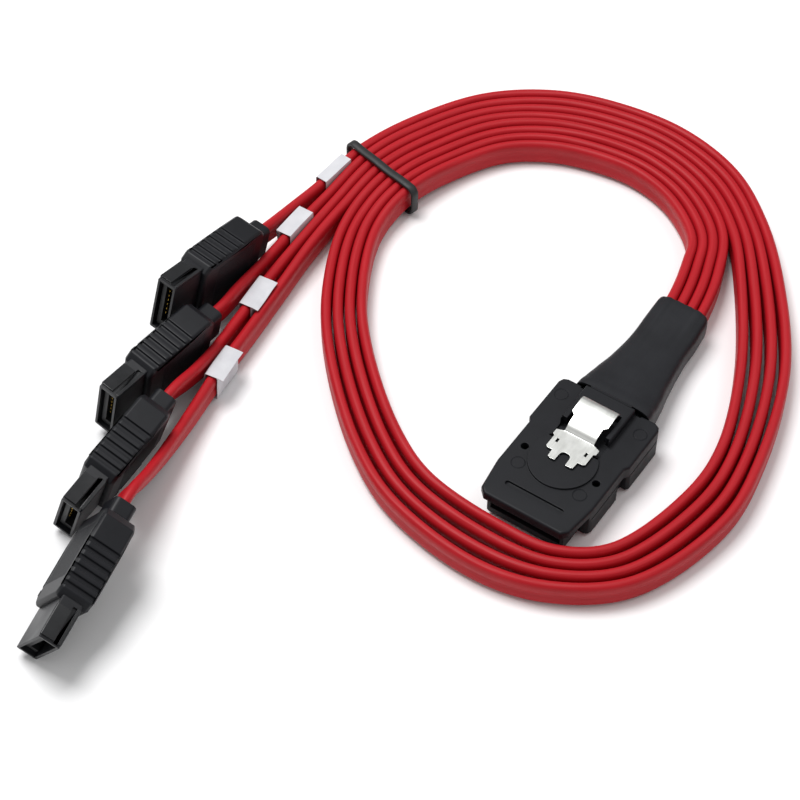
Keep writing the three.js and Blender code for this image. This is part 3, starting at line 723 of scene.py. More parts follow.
def eased(mesh: Mesh, width: float, angle: float = 38.0) -> Mesh:
    """Copy of a mesh with its hard edges rounded and its flats shaded flat.

    Args:
        mesh: The mesh.
        width: Width of the rounding in millimetres.
        angle: Degrees from which an edge counts as hard.

    Returns:
        The new mesh.
    """

    def add_bevel(carrier: Object) -> None:
        """Rounds the hard edges."""
        bevel = carrier.modifiers.new("edge", "BEVEL")
        bevel.width = width * MM
        bevel.segments = 2
        bevel.limit_method = "ANGLE"
        bevel.angle_limit = math.radians(angle)
        bevel.use_clamp_overlap = False

    def add_weights(carrier: Object) -> None:
        """Turns the normals towards the large faces."""
        weights = carrier.modifiers.new("flats", "WEIGHTED_NORMAL")
        weights.keep_sharp = True
        weights.weight = 100

    made = evaluated(mesh, add_bevel)
    smooth_to(made, angle)
    return evaluated(made, add_weights)


# Corners closer than this are one; faces tilted less than this are one flat
WELD = 0.002 * MM
FLAT = math.radians(0.6)


def clean_copy(node: str) -> Mesh:
    """Copy of a CAD node's mesh with its triangles joined into flat faces.

    Args:
        node: The CAD node.

    Returns:
        The new mesh.
    """
    source = frame["nodes"][node].data
    mesh = bpy.data.meshes.new(node + "_copy")
    corners = [tuple(p.vertices) for p in source.polygons]
    mesh.from_pydata([tuple(v.co) for v in source.vertices], [], corners)
    work = bmesh.new()
    work.from_mesh(mesh)
    bmesh.ops.remove_doubles(work, verts=work.verts, dist=WELD)
    bmesh.ops.dissolve_limit(work, angle_limit=FLAT, verts=work.verts, edges=work.edges)
    bmesh.ops.recalc_face_normals(work, faces=work.faces)
    work.to_mesh(mesh)
    work.free()
    return mesh


def dressed(node: str, name: str, material: Material, width: float, body: str) -> Object:
    """Piece made from a CAD node with its edges rounded.

    Args:
        node: The CAD node it stands for.
        name: The piece's name.
        material: Its material.
        width: Width of the edge rounding in millimetres.
        body: CAD body that it rides on.

    Returns:
        The piece.
    """
    mesh = eased(clean_copy(node), width)
    mesh.materials.clear()
    mesh.materials.append(material)
    return make_piece(name, mesh, body, [node])


@dataclass
class SataPose:
    """Where one SATA plug lies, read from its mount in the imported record."""

    number: int
    heading: float
    lift: float
    lean: float
    rim: float = 6.7 * MM
    nub_face: float = 32.71 * MM
    lead: float = 4.0 * MM
    sunk: float = 2.2 * MM

    def matrix(self) -> Matrix:
        """Plug frame to row frame.

        Returns:
            The transform, with the mouth's middle at the plug frame's origin.
        """
        turn = (
            Matrix.Rotation(math.radians(self.heading), 4, "Z")
            @ Matrix.Rotation(-math.radians(self.lift), 4, "X")
            @ Matrix.Rotation(math.radians(self.lean), 4, "Y")
        )
        mounts = {m["name"]: m for m in frame["record"]["mounts"]}
        rim = Vector(mounts[f"sata_mouth_{self.number}"]["pos_m"])
        return Matrix.Translation(rim - turn @ Vector((0, 0, self.rim))) @ turn

    def entry(self) -> list[Vector]:
        """Last two points of the cable that runs into this plug.

        Returns:
            A point behind the nub and one in its socket.
        """
        places = (self.nub_face + self.lead, self.nub_face - self.sunk)
        return [self.matrix() @ Vector((0, along, 0)) for along in places]


SATA_POSES = [
    SataPose(1, -1.3, 11.6, 6.8),
    SataPose(2, -3.3, 2.5, 11.4),
    SataPose(3, 2.3, -3.6, 20.2),
    SataPose(4, 9.4, -8.7, 34.2),
]


@dataclass
class Station:
    """One place on a cable's course."""

    point: Vector
    tangent: Vector
    side: Vector
    top: Vector
    along: float


class Course:
    """Lying route of one flat cable: the same curve that the CAD cable follows."""

    SAMPLES = 40

    def __init__(self, cable: int) -> None:
        """Gathers the route's points.

        Args:
            cable: Which cable, from 0.
        """
        lane = FIRST_LANE - cable
        first = [*LEAD_OUT, *TOP_BEND]
        self.points = [self.sidestep(first, i, -lane * s[3]) for i, s in enumerate(LEAD_OUT)]
        self.add_bend((BEND_LANE - lane) * BAND_PITCH)
        self.points += [self.sidestep(LOOP, i, -lane * s[3]) for i, s in enumerate(LOOP)]
        self.add_bend((-BEND_LANE - lane) * BAND_PITCH)
        self.leans = [0.0] * len(self.points)
        for x, y, z, lean in TAILS[cable]:
            self.points.append(Vector((x, y, z)))
            self.leans.append(lean)
        for point in SATA_POSES[cable].entry():
            self.points.append(point)
            self.leans.append(SATA_POSES[cable].lean)
        self.table = self.measured()

    def add_bend(self, offset: float) -> None:
        """Adds one pass over the top bend.

        Args:
            offset: How far to the left of the band's middle it runs.
        """
        self.points += [self.sidestep(TOP_BEND, i, offset) for i in range(len(TOP_BEND))]

    @staticmethod
    def sidestep(stations: list, i: int, offset: float) -> Vector:
        """Station moved sideways.

        Args:
            stations: The line of stations.
            i: Which one.
            offset: Distance to the left of the direction of travel.

        Returns:
            The moved point.
        """
        before, after = stations[max(i - 1, 0)], stations[min(i + 1, len(stations) - 1)]
        way = Vector((after[0] - before[0], after[1] - before[1])).normalized()
        x, y, z = stations[i][:3]
        return Vector((x - way.y * offset, y + way.x * offset, z))

    def at(self, t: float) -> Vector:
        """Point on the centripetal Catmull-Rom curve.

        Args:
            t: From 0 to 1, evenly over the spans.

        Returns:
            The point.
        """
        points, last = self.points, len(self.points) - 1
        i = min(int(t * last), last - 1)
        w = t * last - i
        p1, p2 = points[i], points[i + 1]
        p0 = points[i - 1] if i > 0 else 2 * p1 - p2
        p3 = points[i + 2] if i + 2 <= last else 2 * p2 - p1
        d0, d1, d2 = (math.sqrt((b - a).length) for a, b in pairwise((p0, p1, p2, p3)))
        m1 = ((p1 - p0) / d0 - (p2 - p0) / (d0 + d1) + (p2 - p1) / d1) * d1
        m2 = ((p2 - p1) / d1 - (p3 - p1) / (d1 + d2) + (p3 - p2) / d2) * d1
        cubic = 2 * p1 - 2 * p2 + m1 + m2
        square = -3 * p1 + 3 * p2 - 2 * m1 - m2
        return p1 + m1 * w + square * w**2 + cubic * w**3

    def measured(self) -> list[tuple[float, float]]:
        """Curve parameters with the length run so far.

        Returns:
            Pairs of parameter and length.
        """
        count = (len(self.points) - 1) * self.SAMPLES
        table, run, before = [(0.0, 0.0)], 0.0, self.at(0)
        for k in range(1, count + 1):
            here = self.at(k / count)
            run += (here - before).length
            table.append((k / count, run))
            before = here
        return table

    @property
    def length(self) -> float:
        """Length of the whole course.

        Returns:
            Metres.
        """
        return self.table[-1][1]

    def parameter(self, along: float) -> float:
        """Curve parameter at a length along the course.

        Args:
            along: Length from the start.

        Returns:
            The parameter.
        """
        for (t0, s0), (t1, s1) in pairwise(self.table):
            if s1 >= along:
                return t0 + (t1 - t0) * (along - s0) / max(s1 - s0, 1e-12)
        return 1.0

    def station(self, t: float, along: float) -> Station:
        """Frame of the cable at one place.

        Args:
            t: Curve parameter.
            along: Length from the start.

        Returns:
            The station.
        """
        step = 1e-4
        tangent = (self.at(min(t + step, 1)) - self.at(max(t - step, 0))).normalized()
        side = Vector((0, 0, 1)).cross(tangent).normalized()
        place = t * (len(self.leans) - 1)
        i = min(int(place), len(self.leans) - 2)
        lean = self.leans[i] + (self.leans[i + 1] - self.leans[i]) * (place - i)
        side = Matrix.Rotation(-math.radians(lean), 3, tangent) @ side
        return Station(self.at(t), tangent, side, tangent.cross(side), along)

    def stations(self, start: float, end: float, count: int) -> list[Station]:
        """Evenly spaced stations between two lengths.

        Args:
            start: First length.
            end: Last length.
            count: How many.

        Returns:
            The stations.
        """
        places = [start + (end - start) * k / (count - 1) for k in range(count)]
        return [self.station(self.parameter(s), s) for s in places]

    def crossing(self, y: float) -> float:
        """Length at which the last run crosses a given Y.

        Args:
            y: The Y.

        Returns:
            Length from the start.
        """
        for t, run in reversed(self.table):
            if self.at(t).y >= y:
                return run
        return 0.0


@dataclass
class FlatCable:
    """One flat cable of two shielded pairs: two round lobes joined by a web, standing on edge."""

    number: int
    course: Course
    lobe_width: float = 1.17 * MM
    lobe_height: float = 1.55 * MM
    web: float = 0.86 * MM
    squareness: float = 2.3
    side_points: int = 15
    settle: float = 0.16 * MM
    still: float = 42.0 * MM
    long_wave: float = 19.0 * MM
    short_wave: float = 7.3 * MM
    phase_step: float = 1.9
    short_phase: float = 2.1
    grain_skew: float = 4.0
    grain_step: float = 10.0

    def half_width(self, v: float) -> float:
        """Half width of the section at a height.

        Args:
            v: Height from the section's middle.

        Returns:
            Half width.
        """
        share = min(abs(abs(v) - self.lobe_height) / self.lobe_height, 1.0)
        lobe = self.lobe_width * (1 - share**self.squareness) ** (1 / self.squareness)
        return max(lobe, self.web) if abs(v) < self.lobe_height else lobe

    def section(self) -> list[tuple[float, float]]:
        """Outline of the section, round once.

        Returns:
            Pairs of sideways and upward offset.
        """
        top = 2 * self.lobe_height
        turns = [math.pi * k / (self.side_points - 1) for k in range(self.side_points)]
        heights = [-top * math.cos(a) for a in turns]
        right = [(self.half_width(v), v) for v in heights]
        left = [(-u, v) for u, v in reversed(right[1:-1])]
        return right + left

    def settled(self, station: Station) -> Vector:
        """Point of the centreline with the small rise and fall of a cable that lies loose.

        Args:
            station: The station.

        Returns:
            The point.
        """
        ends = min(station.along, self.course.length - station.along)
        share = min(max((ends - self.still) / self.still, 0.0), 1.0)
        phase = self.number * self.phase_step
        wave = math.sin(station.along / self.long_wave + phase)
        wave += math.sin(station.along / self.short_wave + self.short_phase * phase)
        return station.point + station.top * self.settle * share * (1 + wave / 2)

    def stations(self) -> list[Station]:
        """Stations of the cable's rings.

        Returns:
            The stations, from the plug to the SATA boot.
        """
        count = round(self.course.length / RING_SPACING)
        return self.course.stations(0, self.course.length, count)

    def build(self, material: Material) -> Object:
        """Makes the cable.

        Args:
            material: The jacket.

        Returns:
            The cable.
        """
        stations, outline = self.stations(), self.section()
        rings = [[self.settled(s) + s.side * u + s.top * v for u, v in outline] for s in stations]
        mesh = mesh_of(f"flat_cable_{self.number}", *lofted(rings), material, 60)
        run = mesh.attributes.new("run", "FLOAT_VECTOR", "POINT")
        places = [
            c
            for s in stations
            for u, v in outline
            for c in ((v + self.grain_skew * u) / MM, s.along / MM, self.grain_step * self.number)
        ]
        run.data.foreach_set("vector", places)
        node = f"cable_{self.number}"
        return make_piece(f"flat_cable_{self.number}", mesh, CABLE_SET, [node])


@dataclass
class MarkerLabel:
    """Film wrapped round one cable, its end left standing out as a flap."""

    cable: int
    y: float
    left: float
    right: float
    curl: float
    half_width: float = 1.5 * MM
    half_height: float = 3.5 * MM
    film: float = 0.13 * MM
    length: float = 9.2 * MM
    corner: float = 0.45 * MM
    corner_steps: int = 4
    top_steps: int = 6
    fold: float = 0.25 * MM
    tuck: float = 0.3 * MM
    last_turn: float = 70.0
    flap_level: float = 2.8 * MM
    near_curl: float = 0.35
    ripple: float = 0.05
    ripple_turns: float = 7.0
    rings: int = 14

    def path(self) -> list[Vector]:
        """Middle of the film in section, from the flap's edge round the cable.

        Returns:
            Points with sideways and upward offset.
        """
        w, h, c = self.half_width, self.half_height, self.corner
        shares = [k / self.top_steps for k in range(self.top_steps)]
        points = [Vector((self.right * (1 - share) + w * share, h)) for share in shares]
        folded = self.left > w + c
        if folded:
            points += [Vector((-self.left, h)), Vector((-self.left, h - self.fold))]
            points.append(Vector((-w, h - self.tuck)))
        corners = [(-w + c, h - c, 90), (-w + c, -h + c, 180), (w - c, -h + c, 270), (w - c, h - c, 0)]
        for x, y, start in corners:
            turn = 90 if start else self.last_turn
            # The fold takes the place of the first corner's first half
            skipped = self.corner_steps // 2 if folded and start == 90 else 0
            for k in range(skipped, self.corner_steps + 1):
                a = math.radians(start + turn * k / self.corner_steps)
                points.append(Vector((x + c * math.cos(a), y + c * math.sin(a))))
        return points

    def outline(self) -> list[Vector]:
        """Closed outline of the film's section.

        Returns:
            Points round the film.
        """
        line = self.path()
        outer, inner = [], []
        for i, point in enumerate(line):
            way = (line[min(i + 1, len(line) - 1)] - line[max(i - 1, 0)]).normalized()
            across = Vector((way.y, -way.x)) * (self.film / 2)
            outer.append(point + across)
            inner.append(point - across)
        return outer + inner[::-1]

    def build(self, course: Course, material: Material) -> Object:
        """Makes the label.

        Args:
            course: The cable's course.
            material: The film.

        Returns:
            The label.
        """
        middle = course.crossing(self.y)
        ends = (middle - self.length / 2, middle + self.length / 2)
        rings = []
        for k, s in enumerate(course.stations(*ends, self.rings)):
            share = k / (self.rings - 1)
            ring = []
            for point in self.outline():
                out = max(abs(point.x) - self.half_width, 0) * (point.y > self.flap_level)
                curl = self.curl * (self.near_curl + (1 - self.near_curl) * share)
                droop = out * (curl - self.ripple * math.sin(self.ripple_turns * share))
                ring.append(s.point + s.side * point.x + s.top * (point.y - droop))
            rings.append(ring)
        name = f"marker_wrap_{self.cable + 1}"
        mesh = mesh_of(name, *lofted(rings), material, 50)
        return make_piece(name, mesh, CABLE_SET, [f"marker_label_{self.cable + 1}"])


# Cable, y of the middle, reach to the left and right, curl
LABELS = [
    MarkerLabel(0, 0.041, 1.5 * MM, 1.55 * MM, 0.1),
    MarkerLabel(1, 0.0226, 2.3 * MM, 1.5 * MM, 0.15),
    MarkerLabel(2, 0.0002, 1.5 * MM, 3.2 * MM, 0.22),
    MarkerLabel(3, -0.0203, 1.5 * MM, 2.9 * MM, 0.2),
]


# Sleeve behind the plug in millimetres: distance, middle, half width, low, high, squareness
SLEEVE_STATIONS = (
    (0, 0, 9, 0.3, 9.55, 5.2),
    (1.5, 0, 8.98, 0.26, 9.5, 5.0),
    (3, 0, 8.8, 0.25, 9.22, 4.6),
    (6.5, -0.05, 8.35, 0.2, 8.8, 4.2),
    (12, -0.2, 7.4, 0.15, 8.3, 3.8),
    (18, -0.4, 6.72, 0.1, 8.02, 3.6),
    (21.5, -0.6, 6.5, 0.08, 7.9, 3.6),
    (26, -0.8, 6.5, 0.05, 7.85, 3.8),
    (31, -1.1, 6.3, 0.05, 7.8, 4.2),
    (32.8, -1.25, 6.12, 0.05, 7.75, 4.2),
)


@dataclass
class ShrinkSleeve:
    """Heat-shrink tube that grips the plug's neck and draws in round the four cables."""

    start: float = 17.8 * MM
    wall: float = 0.45 * MM
    ring_points: int = 96
    rings: int = 72
    inner_rings: int = 10
    shoulder: float = 1.1 * MM
    slack: float = 0.8
    lobe_start: float = 14.0
    lobe_blend: float = 14.0
    lobe_depth: float = 0.1
    lobe_pitch: float = 2.5
    dent: float = 0.07
    dent_share: float = 0.1
    crown_drop: float = 0.05
    shoulder_steps: int = 5
    shoulder_wall: float = 0.75

    def station(self, distance: float) -> list[float]:
        """Smoothly interpolated station.

        Args:
            distance: Distance behind the plug in millimetres.

        Returns:
            Middle, half width, low, high and squareness, in millimetres.
        """
        rows = SLEEVE_STATIONS
        i = next((k for k, row in enumerate(rows[1:]) if row[0] >= distance), len(rows) - 2)
        before, here, after, beyond = (rows[min(max(k, 0), len(rows) - 1)] for k in range(i - 1, i + 3))
        w = (distance - here[0]) / (after[0] - here[0])
        values = []
        for a, b, c, d in zip(before, here, after, beyond, strict=True):
            m0, m1 = self.slack * (c - a) / 2, self.slack * (d - b) / 2
            values.append(
                (2 * w**3 - 3 * w**2 + 1) * b
                + (w**3 - 2 * w**2 + w) * m0
                + (3 * w**2 - 2 * w**3) * c
                + (w**3 - w**2) * m1
            )
        return values[1:]

    def ring(self, distance: float, inset: float) -> list[Vector]:
        """Ring of the tube.

        Args:
            distance: Distance behind the plug in millimetres.
            inset: How far inside the outer surface, in millimetres.

        Returns:
            The ring's points.
        """
        middle, half, low, high, power = self.station(distance)
        far = min(max((distance - self.lobe_start) / self.lobe_blend, 0), 1)
        points = []
        for k in range(self.ring_points):
            a = 2 * math.pi * k / self.ring_points
            c, s = math.cos(a), math.sin(a)
            u = math.copysign(abs(c) ** (2 / power), c)
            v = math.copysign(abs(s) ** (2 / power), s)
            lobe = math.cos(2 * math.pi * u * half / self.lobe_pitch) * (s > 0) * (1 - abs(c) ** 6)
            dent = self.dent * math.sin(0.9 * distance + 2.3 * a) * math.sin(0.31 * distance + a)
            x = middle + u * (half - inset)
            z = (low + high) / 2 + v * ((high - low) / 2 - inset - self.crown_drop)
            z -= self.lobe_depth * far * lobe + self.dent_share * abs(dent)
            points.append(Vector((x * MM, self.start + distance * MM, max(z, low + inset) * MM)))
        return points

    def build(self, material: Material) -> Object:
        """Makes the sleeve.

        Args:
            material: The heat-shrink.

        Returns:
            The sleeve.
        """
        end = SLEEVE_STATIONS[-1][0]
        wall, shoulder = self.wall / MM, self.shoulder / MM
        rings = [self.ring((end - shoulder) * k / self.rings, 0) for k in range(self.rings + 1)]
        for k in range(1, self.shoulder_steps + 1):
            a = math.pi / 2 * k / self.shoulder_steps
            inset = wall * self.shoulder_wall * (1 - math.cos(a))
            rings.append(self.ring(end - shoulder * (1 - math.sin(a)), inset))
        rings += [self.ring(end * (1 - k / self.inner_rings), wall) for k in range(self.inner_rings + 1)]
        points, faces = looped(rings)
        mesh = mesh_of("heat_shrink_sleeve", points, faces, material, 60)
        return make_piece("heat_shrink_sleeve", mesh, CABLE_SET, ["shrink_sleeve"])


@dataclass
class CableTie:
    """Rubber strap round both passes of the band."""

    x: float = -79.8 * MM
    y: float = 47.7 * MM
    heading: float = -13.0
    half_length: float = 11.1 * MM
    height: float = 7.7 * MM
    corner: float = 2.0 * MM
    half_width: float = 1.0 * MM
    half_thickness: float = 0.38 * MM
    corner_steps: int = 8
    straight_steps: int = 10
    edge: float = 0.25 * MM
    rest_height: float = 0.45 * MM
    sag: float = 0.1 * MM
    wander: float = 0.12 * MM
    wander_step: float = 0.35

    def path(self) -> list[Vector]:
        """Middle of the strap, round once.

        Returns:
            Points across and up.
        """
        x, z, c = self.half_length, self.height / 2, self.corner
        points = []
        corners = ((x - c, z - c, 0), (c - x, z - c, 90), (c - x, c - z, 180), (x - c, c - z, 270))
        for cx, cz, start in corners:
            for k in range(self.corner_steps + 1):
                a = math.radians(start + 90 * k / self.corner_steps)
                points.append(Vector((cx + c * math.cos(a), cz + c * math.sin(a))))
            if start in (0, 180):
                first, top = points[-1], start == 0
                across = 2 * (c - x) if top else 2 * (x - c)
                for k in range(1, self.straight_steps):
                    share = k / self.straight_steps
                    sag = self.sag * math.sin(4 * math.pi * share) if top else 0
                    points.append(Vector((first.x + across * share, first.y + sag)))
        return points

    def build(self, material: Material) -> Object:
        """Makes the tie.

        Args:
            material: The rubber.

        Returns:
            The tie.
        """
        turn = Matrix.Rotation(math.radians(self.heading), 3, "Z")
        middle = Vector((self.x, self.y, self.height / 2 + self.rest_height))
        w, t, r = self.half_width, self.half_thickness, self.edge
        quarter = [(w - r, t), (w, t - r), (w, r - t), (w - r, -t)]
        section = quarter + [(-u, v) for u, v in reversed(quarter)]
        path, rings = self.path(), []
        for i, point in enumerate(path):
            way = (path[(i + 1) % len(path)] - path[i - 1]).normalized()
            out = Vector((way.y, -way.x))
            wander = self.wander * math.sin(i * self.wander_step)
            ring = []
            for u, v in section:
                place = point + out * v
                ring.append(middle + turn @ Vector((place.x, u + wander, place.y)))
            rings.append(ring)
        points, faces = looped(rings)
        mesh = mesh_of("rubber_tie", points, faces, material, 50)
        return make_piece("rubber_tie", mesh, CABLE_SET, ["cable_tie"])


def row_tree() -> bpy.types.GeometryNodeTree:
    """Geometry Nodes tree that sets out a row of equal blocks.

    Returns:
        The tree, with inputs Count, Pitch, Size and Material.
    """
    tree = bpy.data.node_groups.new("block_row", "GeometryNodeTree")
    sockets = {"Count": "Int", "Pitch": "Vector", "Size": "Vector", "Material": "Material"}
    for name, kind in sockets.items():
        tree.interface.new_socket(name, in_out="INPUT", socket_type="NodeSocket" + kind)
    tree.interface.new_socket("Geometry", in_out="OUTPUT", socket_type="NodeSocketGeometry")
    given, result = tree.nodes.new("NodeGroupInput"), tree.nodes.new("NodeGroupOutput")
    line = tree.nodes.new("GeometryNodeMeshLine")
    cube = tree.nodes.new("GeometryNodeMeshCube")
    spread = tree.nodes.new("GeometryNodeInstanceOnPoints")
    real = tree.nodes.new("GeometryNodeRealizeInstances")
    paint = tree.nodes.new("GeometryNodeSetMaterial")
    for source, target in (
        (given.outputs["Count"], line.inputs["Count"]),
        (given.outputs["Pitch"], line.inputs["Offset"]),
        (given.outputs["Size"], cube.inputs["Size"]),
        (line.outputs["Mesh"], spread.inputs["Points"]),
        (cube.outputs["Mesh"], spread.inputs["Instance"]),
        (spread.outputs["Instances"], real.inputs["Geometry"]),
        (real.outputs["Geometry"], paint.inputs["Geometry"]),
        (given.outputs["Material"], paint.inputs["Material"]),
        (paint.outputs["Geometry"], result.inputs["Geometry"]),
    ):
        tree.links.new(source, target)
    return tree


@dataclass
class BlockRow:
    """Row of equal blocks: contact strips or card fingers."""

    tree: bpy.types.GeometryNodeTree
    count: int
    pitch: Vector
    size: Vector
    first: Vector
    material: Material

    def mesh(self) -> Mesh:
        """Evaluates the tree.

        Returns:
            A plain mesh, its first block at the stated place.
        """

        def add_row(carrier: Object) -> None:
            """Sets the tree's inputs before anything evaluates it."""
            row = carrier.modifiers.new("row", "NODES")
            row.node_group = self.tree
            given = {
                "Count": self.count,
                "Pitch": tuple(self.pitch),
                "Size": tuple(self.size),
                "Material": self.material,
            }
            for item in self.tree.interface.items_tree:
                if item.item_type == "SOCKET" and item.name in given:
                    row[item.identifier] = given[item.name]

        made = evaluated(bpy.data.meshes.new("row_seed"), add_row)
        made.transform(Matrix.Translation(self.first))
        return made


def block(low: tuple[float, ...], high: tuple[float, ...]) -> tuple[list, list]:
    """Box by two corners.

    Args:
        low: Low corner.
        high: High corner.

    Returns:
        Points and faces.
    """
    (x0, y0, z0), (x1, y1, z1) = low, high
    points = [(x, y, z) for z in (z0, z1) for y in (y0, y1) for x in (x0, x1)]
    return points, [(0, 2, 3, 1), (4, 5, 7, 6), (0, 1, 5, 4), (2, 6, 7, 3), (0, 4, 6, 2), (1, 3, 7, 5)]


def with_local(mesh: Mesh, pose: Matrix) -> Mesh:
    """Stores each vertex's place in its plug's frame, in millimetres.

    Args:
        mesh: Mesh in the row frame.
        pose: Plug frame to row frame.

    Returns:
        The same mesh.
    """
    inverse = pose.inverted()
    places = mesh.attributes.new(Coordinates.PLUG_LOCAL.value, "FLOAT_VECTOR", "POINT")
    local = [c / MM for v in mesh.vertices for c in inverse @ v.co]
    places.data.foreach_set("vector", local)
    return mesh


@dataclass
class SataPlug:
    """Single-lane SATA plug: moulded head, insulator with seven contacts, and grip boot."""

    pose: SataPose
    finishes: Finishes
    row: bpy.types.GeometryNodeTree
    wall_x: float = -1.46 * MM
    insulator: float = 1.1 * MM
    half: float = 6.12 * MM
    front: float = 1.0 * MM
    back: float = 6.5 * MM
    foot: float = 1.4 * MM
    contact_pitch: float = 1.27 * MM
    contact_width: float = 0.55 * MM
    contact_proud: float = 0.22 * MM
    key_plane: float = 7.1
    boot_front: float = 9.96 * MM
    boot_lap: float = 1.05 * MM
    boot_stretch: float = 1.1
    contact_inset: float = 1.1 * MM
    slot_low: tuple[float, float, float] = (0.66 * MM, 0.4 * MM, 6.5 * MM)
    slot_high: tuple[float, float, float] = (1.64 * MM, 8.6 * MM, 9.0 * MM)
    boot_edge: float = 0.22
    head_edge: float = 0.09
    insert_edge: float = 0.08
    contact_edge: float = 0.06

    def build(self) -> None:
        """Makes the plug's four pieces."""
        number, pose = self.pose.number, self.pose.matrix()
        self.head(number, pose)
        boot = with_local(self.drawn_out(clean_copy(f"sata_boot_{number}"), pose), pose)
        boot.materials.append(self.finishes.boot)
        make_piece(f"grip_boot_{number}", boot, CABLE_SET, [f"sata_boot_{number}"])
        self.insert(number, pose)

    def drawn_out(self, mesh: Mesh, pose: Matrix) -> Mesh:
        """Boot lapped over the head's rear and the cable, with its edges rounded.

        Args:
            mesh: The boot in the row frame.
            pose: Plug frame to row frame.

        Returns:
            The new mesh.
        """
        inverse = pose.inverted()
        for vertex in mesh.vertices:
            x, y, z = inverse @ vertex.co
            along = self.boot_front - self.boot_lap + (y - self.boot_front) * self.boot_stretch
            vertex.co = pose @ Vector((x, along, z))
        return eased(mesh, self.boot_edge)

    def slotted(self, mesh: Mesh, pose: Matrix) -> Mesh:
        """Head with the deep slot between its key plate and its rail.

        Args:
            mesh: The head in the row frame.
            pose: Plug frame to row frame.

        Returns:
            The new mesh.
        """
        room = block(self.slot_low, self.slot_high)
        cutter_mesh = mesh_of("slot_cutter", *room, self.finishes.head, 30)
        cutter_mesh.transform(pose)
        cutter = bpy.data.objects.new("slot_cutter", cutter_mesh)
        bpy.context.scene.collection.objects.link(cutter)

        def add_cut(carrier: Object) -> None:
            """Cuts the slot."""
            cut = carrier.modifiers.new("slot", "BOOLEAN")
            cut.operation, cut.solver, cut.object = "DIFFERENCE", "EXACT", cutter

        made = evaluated(mesh, add_cut)
        bpy.data.objects.remove(cutter)
        return made

    def head(self, number: int, pose: Matrix) -> None:
        """Makes the moulded head, its key plate polished and given a lighter colour as painted sheen.

        Args:
            number: Which plug.
            pose: Plug frame to row frame.
        """
        cut = self.slotted(clean_copy(f"sata_head_{number}"), pose)
        cut.materials.clear()
        mesh = with_local(eased(cut, self.head_edge), pose)
        mesh.materials.append(self.finishes.head)
        mesh.materials.append(self.finishes.key)
        inverse = pose.inverted()
        # Faces above the key plane take the polished key material, whose lighter colour is painted sheen
        for polygon in mesh.polygons:
            if (inverse @ polygon.center).z / MM > self.key_plane:
                polygon.material_index = 1
        make_piece(f"head_shell_{number}", mesh, CABLE_SET, [f"sata_head_{number}"])

    def insert(self, number: int, pose: Matrix) -> None:
        """Makes the insulator and its contacts.

        Args:
            number: Which plug.
            pose: Plug frame to row frame.
        """
        face = self.wall_x + self.insulator
        boxes = (
            block((self.wall_x, self.front, -self.half), (face, self.back, self.half)),
            block((face, self.front, -self.half), (-self.wall_x, self.back, self.foot - self.half)),
        )
        points, faces = [], []
        for more, sides in boxes:
            faces += [tuple(i + len(points) for i in side) for side in sides]
            points += more
        mesh = eased(mesh_of("insulator", points, faces, self.finishes.insulator, 30), self.insert_edge)
        mesh.transform(pose)
        name = f"insulator_{number}"
        node = f"sata_contact_insert_{number}"
        make_piece(name, with_local(mesh, pose), CABLE_SET, [node])
        front = self.front + self.contact_inset
        size = Vector((self.contact_proud * 2, self.back - front, self.contact_width))
        first = Vector((face, (front + self.back) / 2, self.foot / 2 - 3 * self.contact_pitch))
        pitch = Vector((0, 0, self.contact_pitch))
        row = BlockRow(self.row, 7, pitch, size, first, self.finishes.gold)
        strips = eased(row.mesh(), self.contact_edge)
        strips.transform(pose)
        make_piece(f"contact_strips_{number}", strips, CABLE_SET, [])


@dataclass
class PlugHousing:
    """Thirty-six circuit plug: two shells, card with gold fingers, potting and latch."""

    finishes: Finishes
    row: bpy.types.GeometryNodeTree
    finger_pitch: float = 0.8 * MM
    fingers: int = 18
    finger_size: tuple[float, float, float] = (0.45 * MM, 4.2 * MM, 0.1 * MM)
    finger_y: float = -12.2 * MM
    upper_fingers: float = 3.93 * MM
    lower_fingers: float = 2.87 * MM
    card_low: tuple[float, float, float] = (-8.0 * MM, -15.1 * MM, 2.9 * MM)
    card_high: tuple[float, float, float] = (8.0 * MM, 4.1 * MM, 3.9 * MM)
    card_edge: float = 0.1

    def build(self) -> None:
        """Makes the plug's pieces."""
        black, steel = self.finishes.plug, self.finishes.steel
        dressed("plug_upper_shell", "upper_shell", black, 0.16, CABLE_SET)
        dressed("plug_lower_shell", "lower_shell", black, 0.14, CABLE_SET)
        dressed("latch", "press_latch", steel, 0.05, LATCH_SPRING)
        potting = self.finishes.potting
        dressed("wire_mould", "wire_potting", potting, 0.2, CABLE_SET)
        self.card()

    def card(self) -> None:
        """Makes the card's laminate and its two rows of fingers."""
        box = block(self.card_low, self.card_high)
        mesh = eased(mesh_of("card", *box, self.finishes.card, 30), self.card_edge)
        make_piece("card_laminate", mesh, CABLE_SET, ["paddle_card"])
        size = Vector(self.finger_size)
        first_x = -self.finger_pitch * (self.fingers - 1) / 2
        pitch = Vector((self.finger_pitch, 0, 0))
        for name, z in (("upper", self.upper_fingers), ("lower", self.lower_fingers)):
            first = Vector((first_x, self.finger_y, z))
            row = BlockRow(self.row, self.fingers, pitch, size, first, self.finishes.gold)
            make_piece(f"card_fingers_{name}", row.mesh(), CABLE_SET, [])


@dataclass(frozen=True)
class SoftLight:
    """Square soft box: where it hangs and aims in metres, its side and its watts."""

    name: str
    place: tuple[float, float, float]
    aim: tuple[float, float, float]
    size: float
    power: float

    def build(self) -> None:
        """Hangs the light."""
        data = bpy.data.lights.new(self.name, "AREA")
        data.size, data.energy = self.size, self.power
        light = bpy.data.objects.new(self.name, data)
        bpy.context.scene.collection.objects.link(light)
        light.location = self.place
        light.rotation_mode = "QUATERNION"
        way = Vector(self.aim) - Vector(self.place)
        light.rotation_quaternion = way.to_track_quat("-Z", "Y")


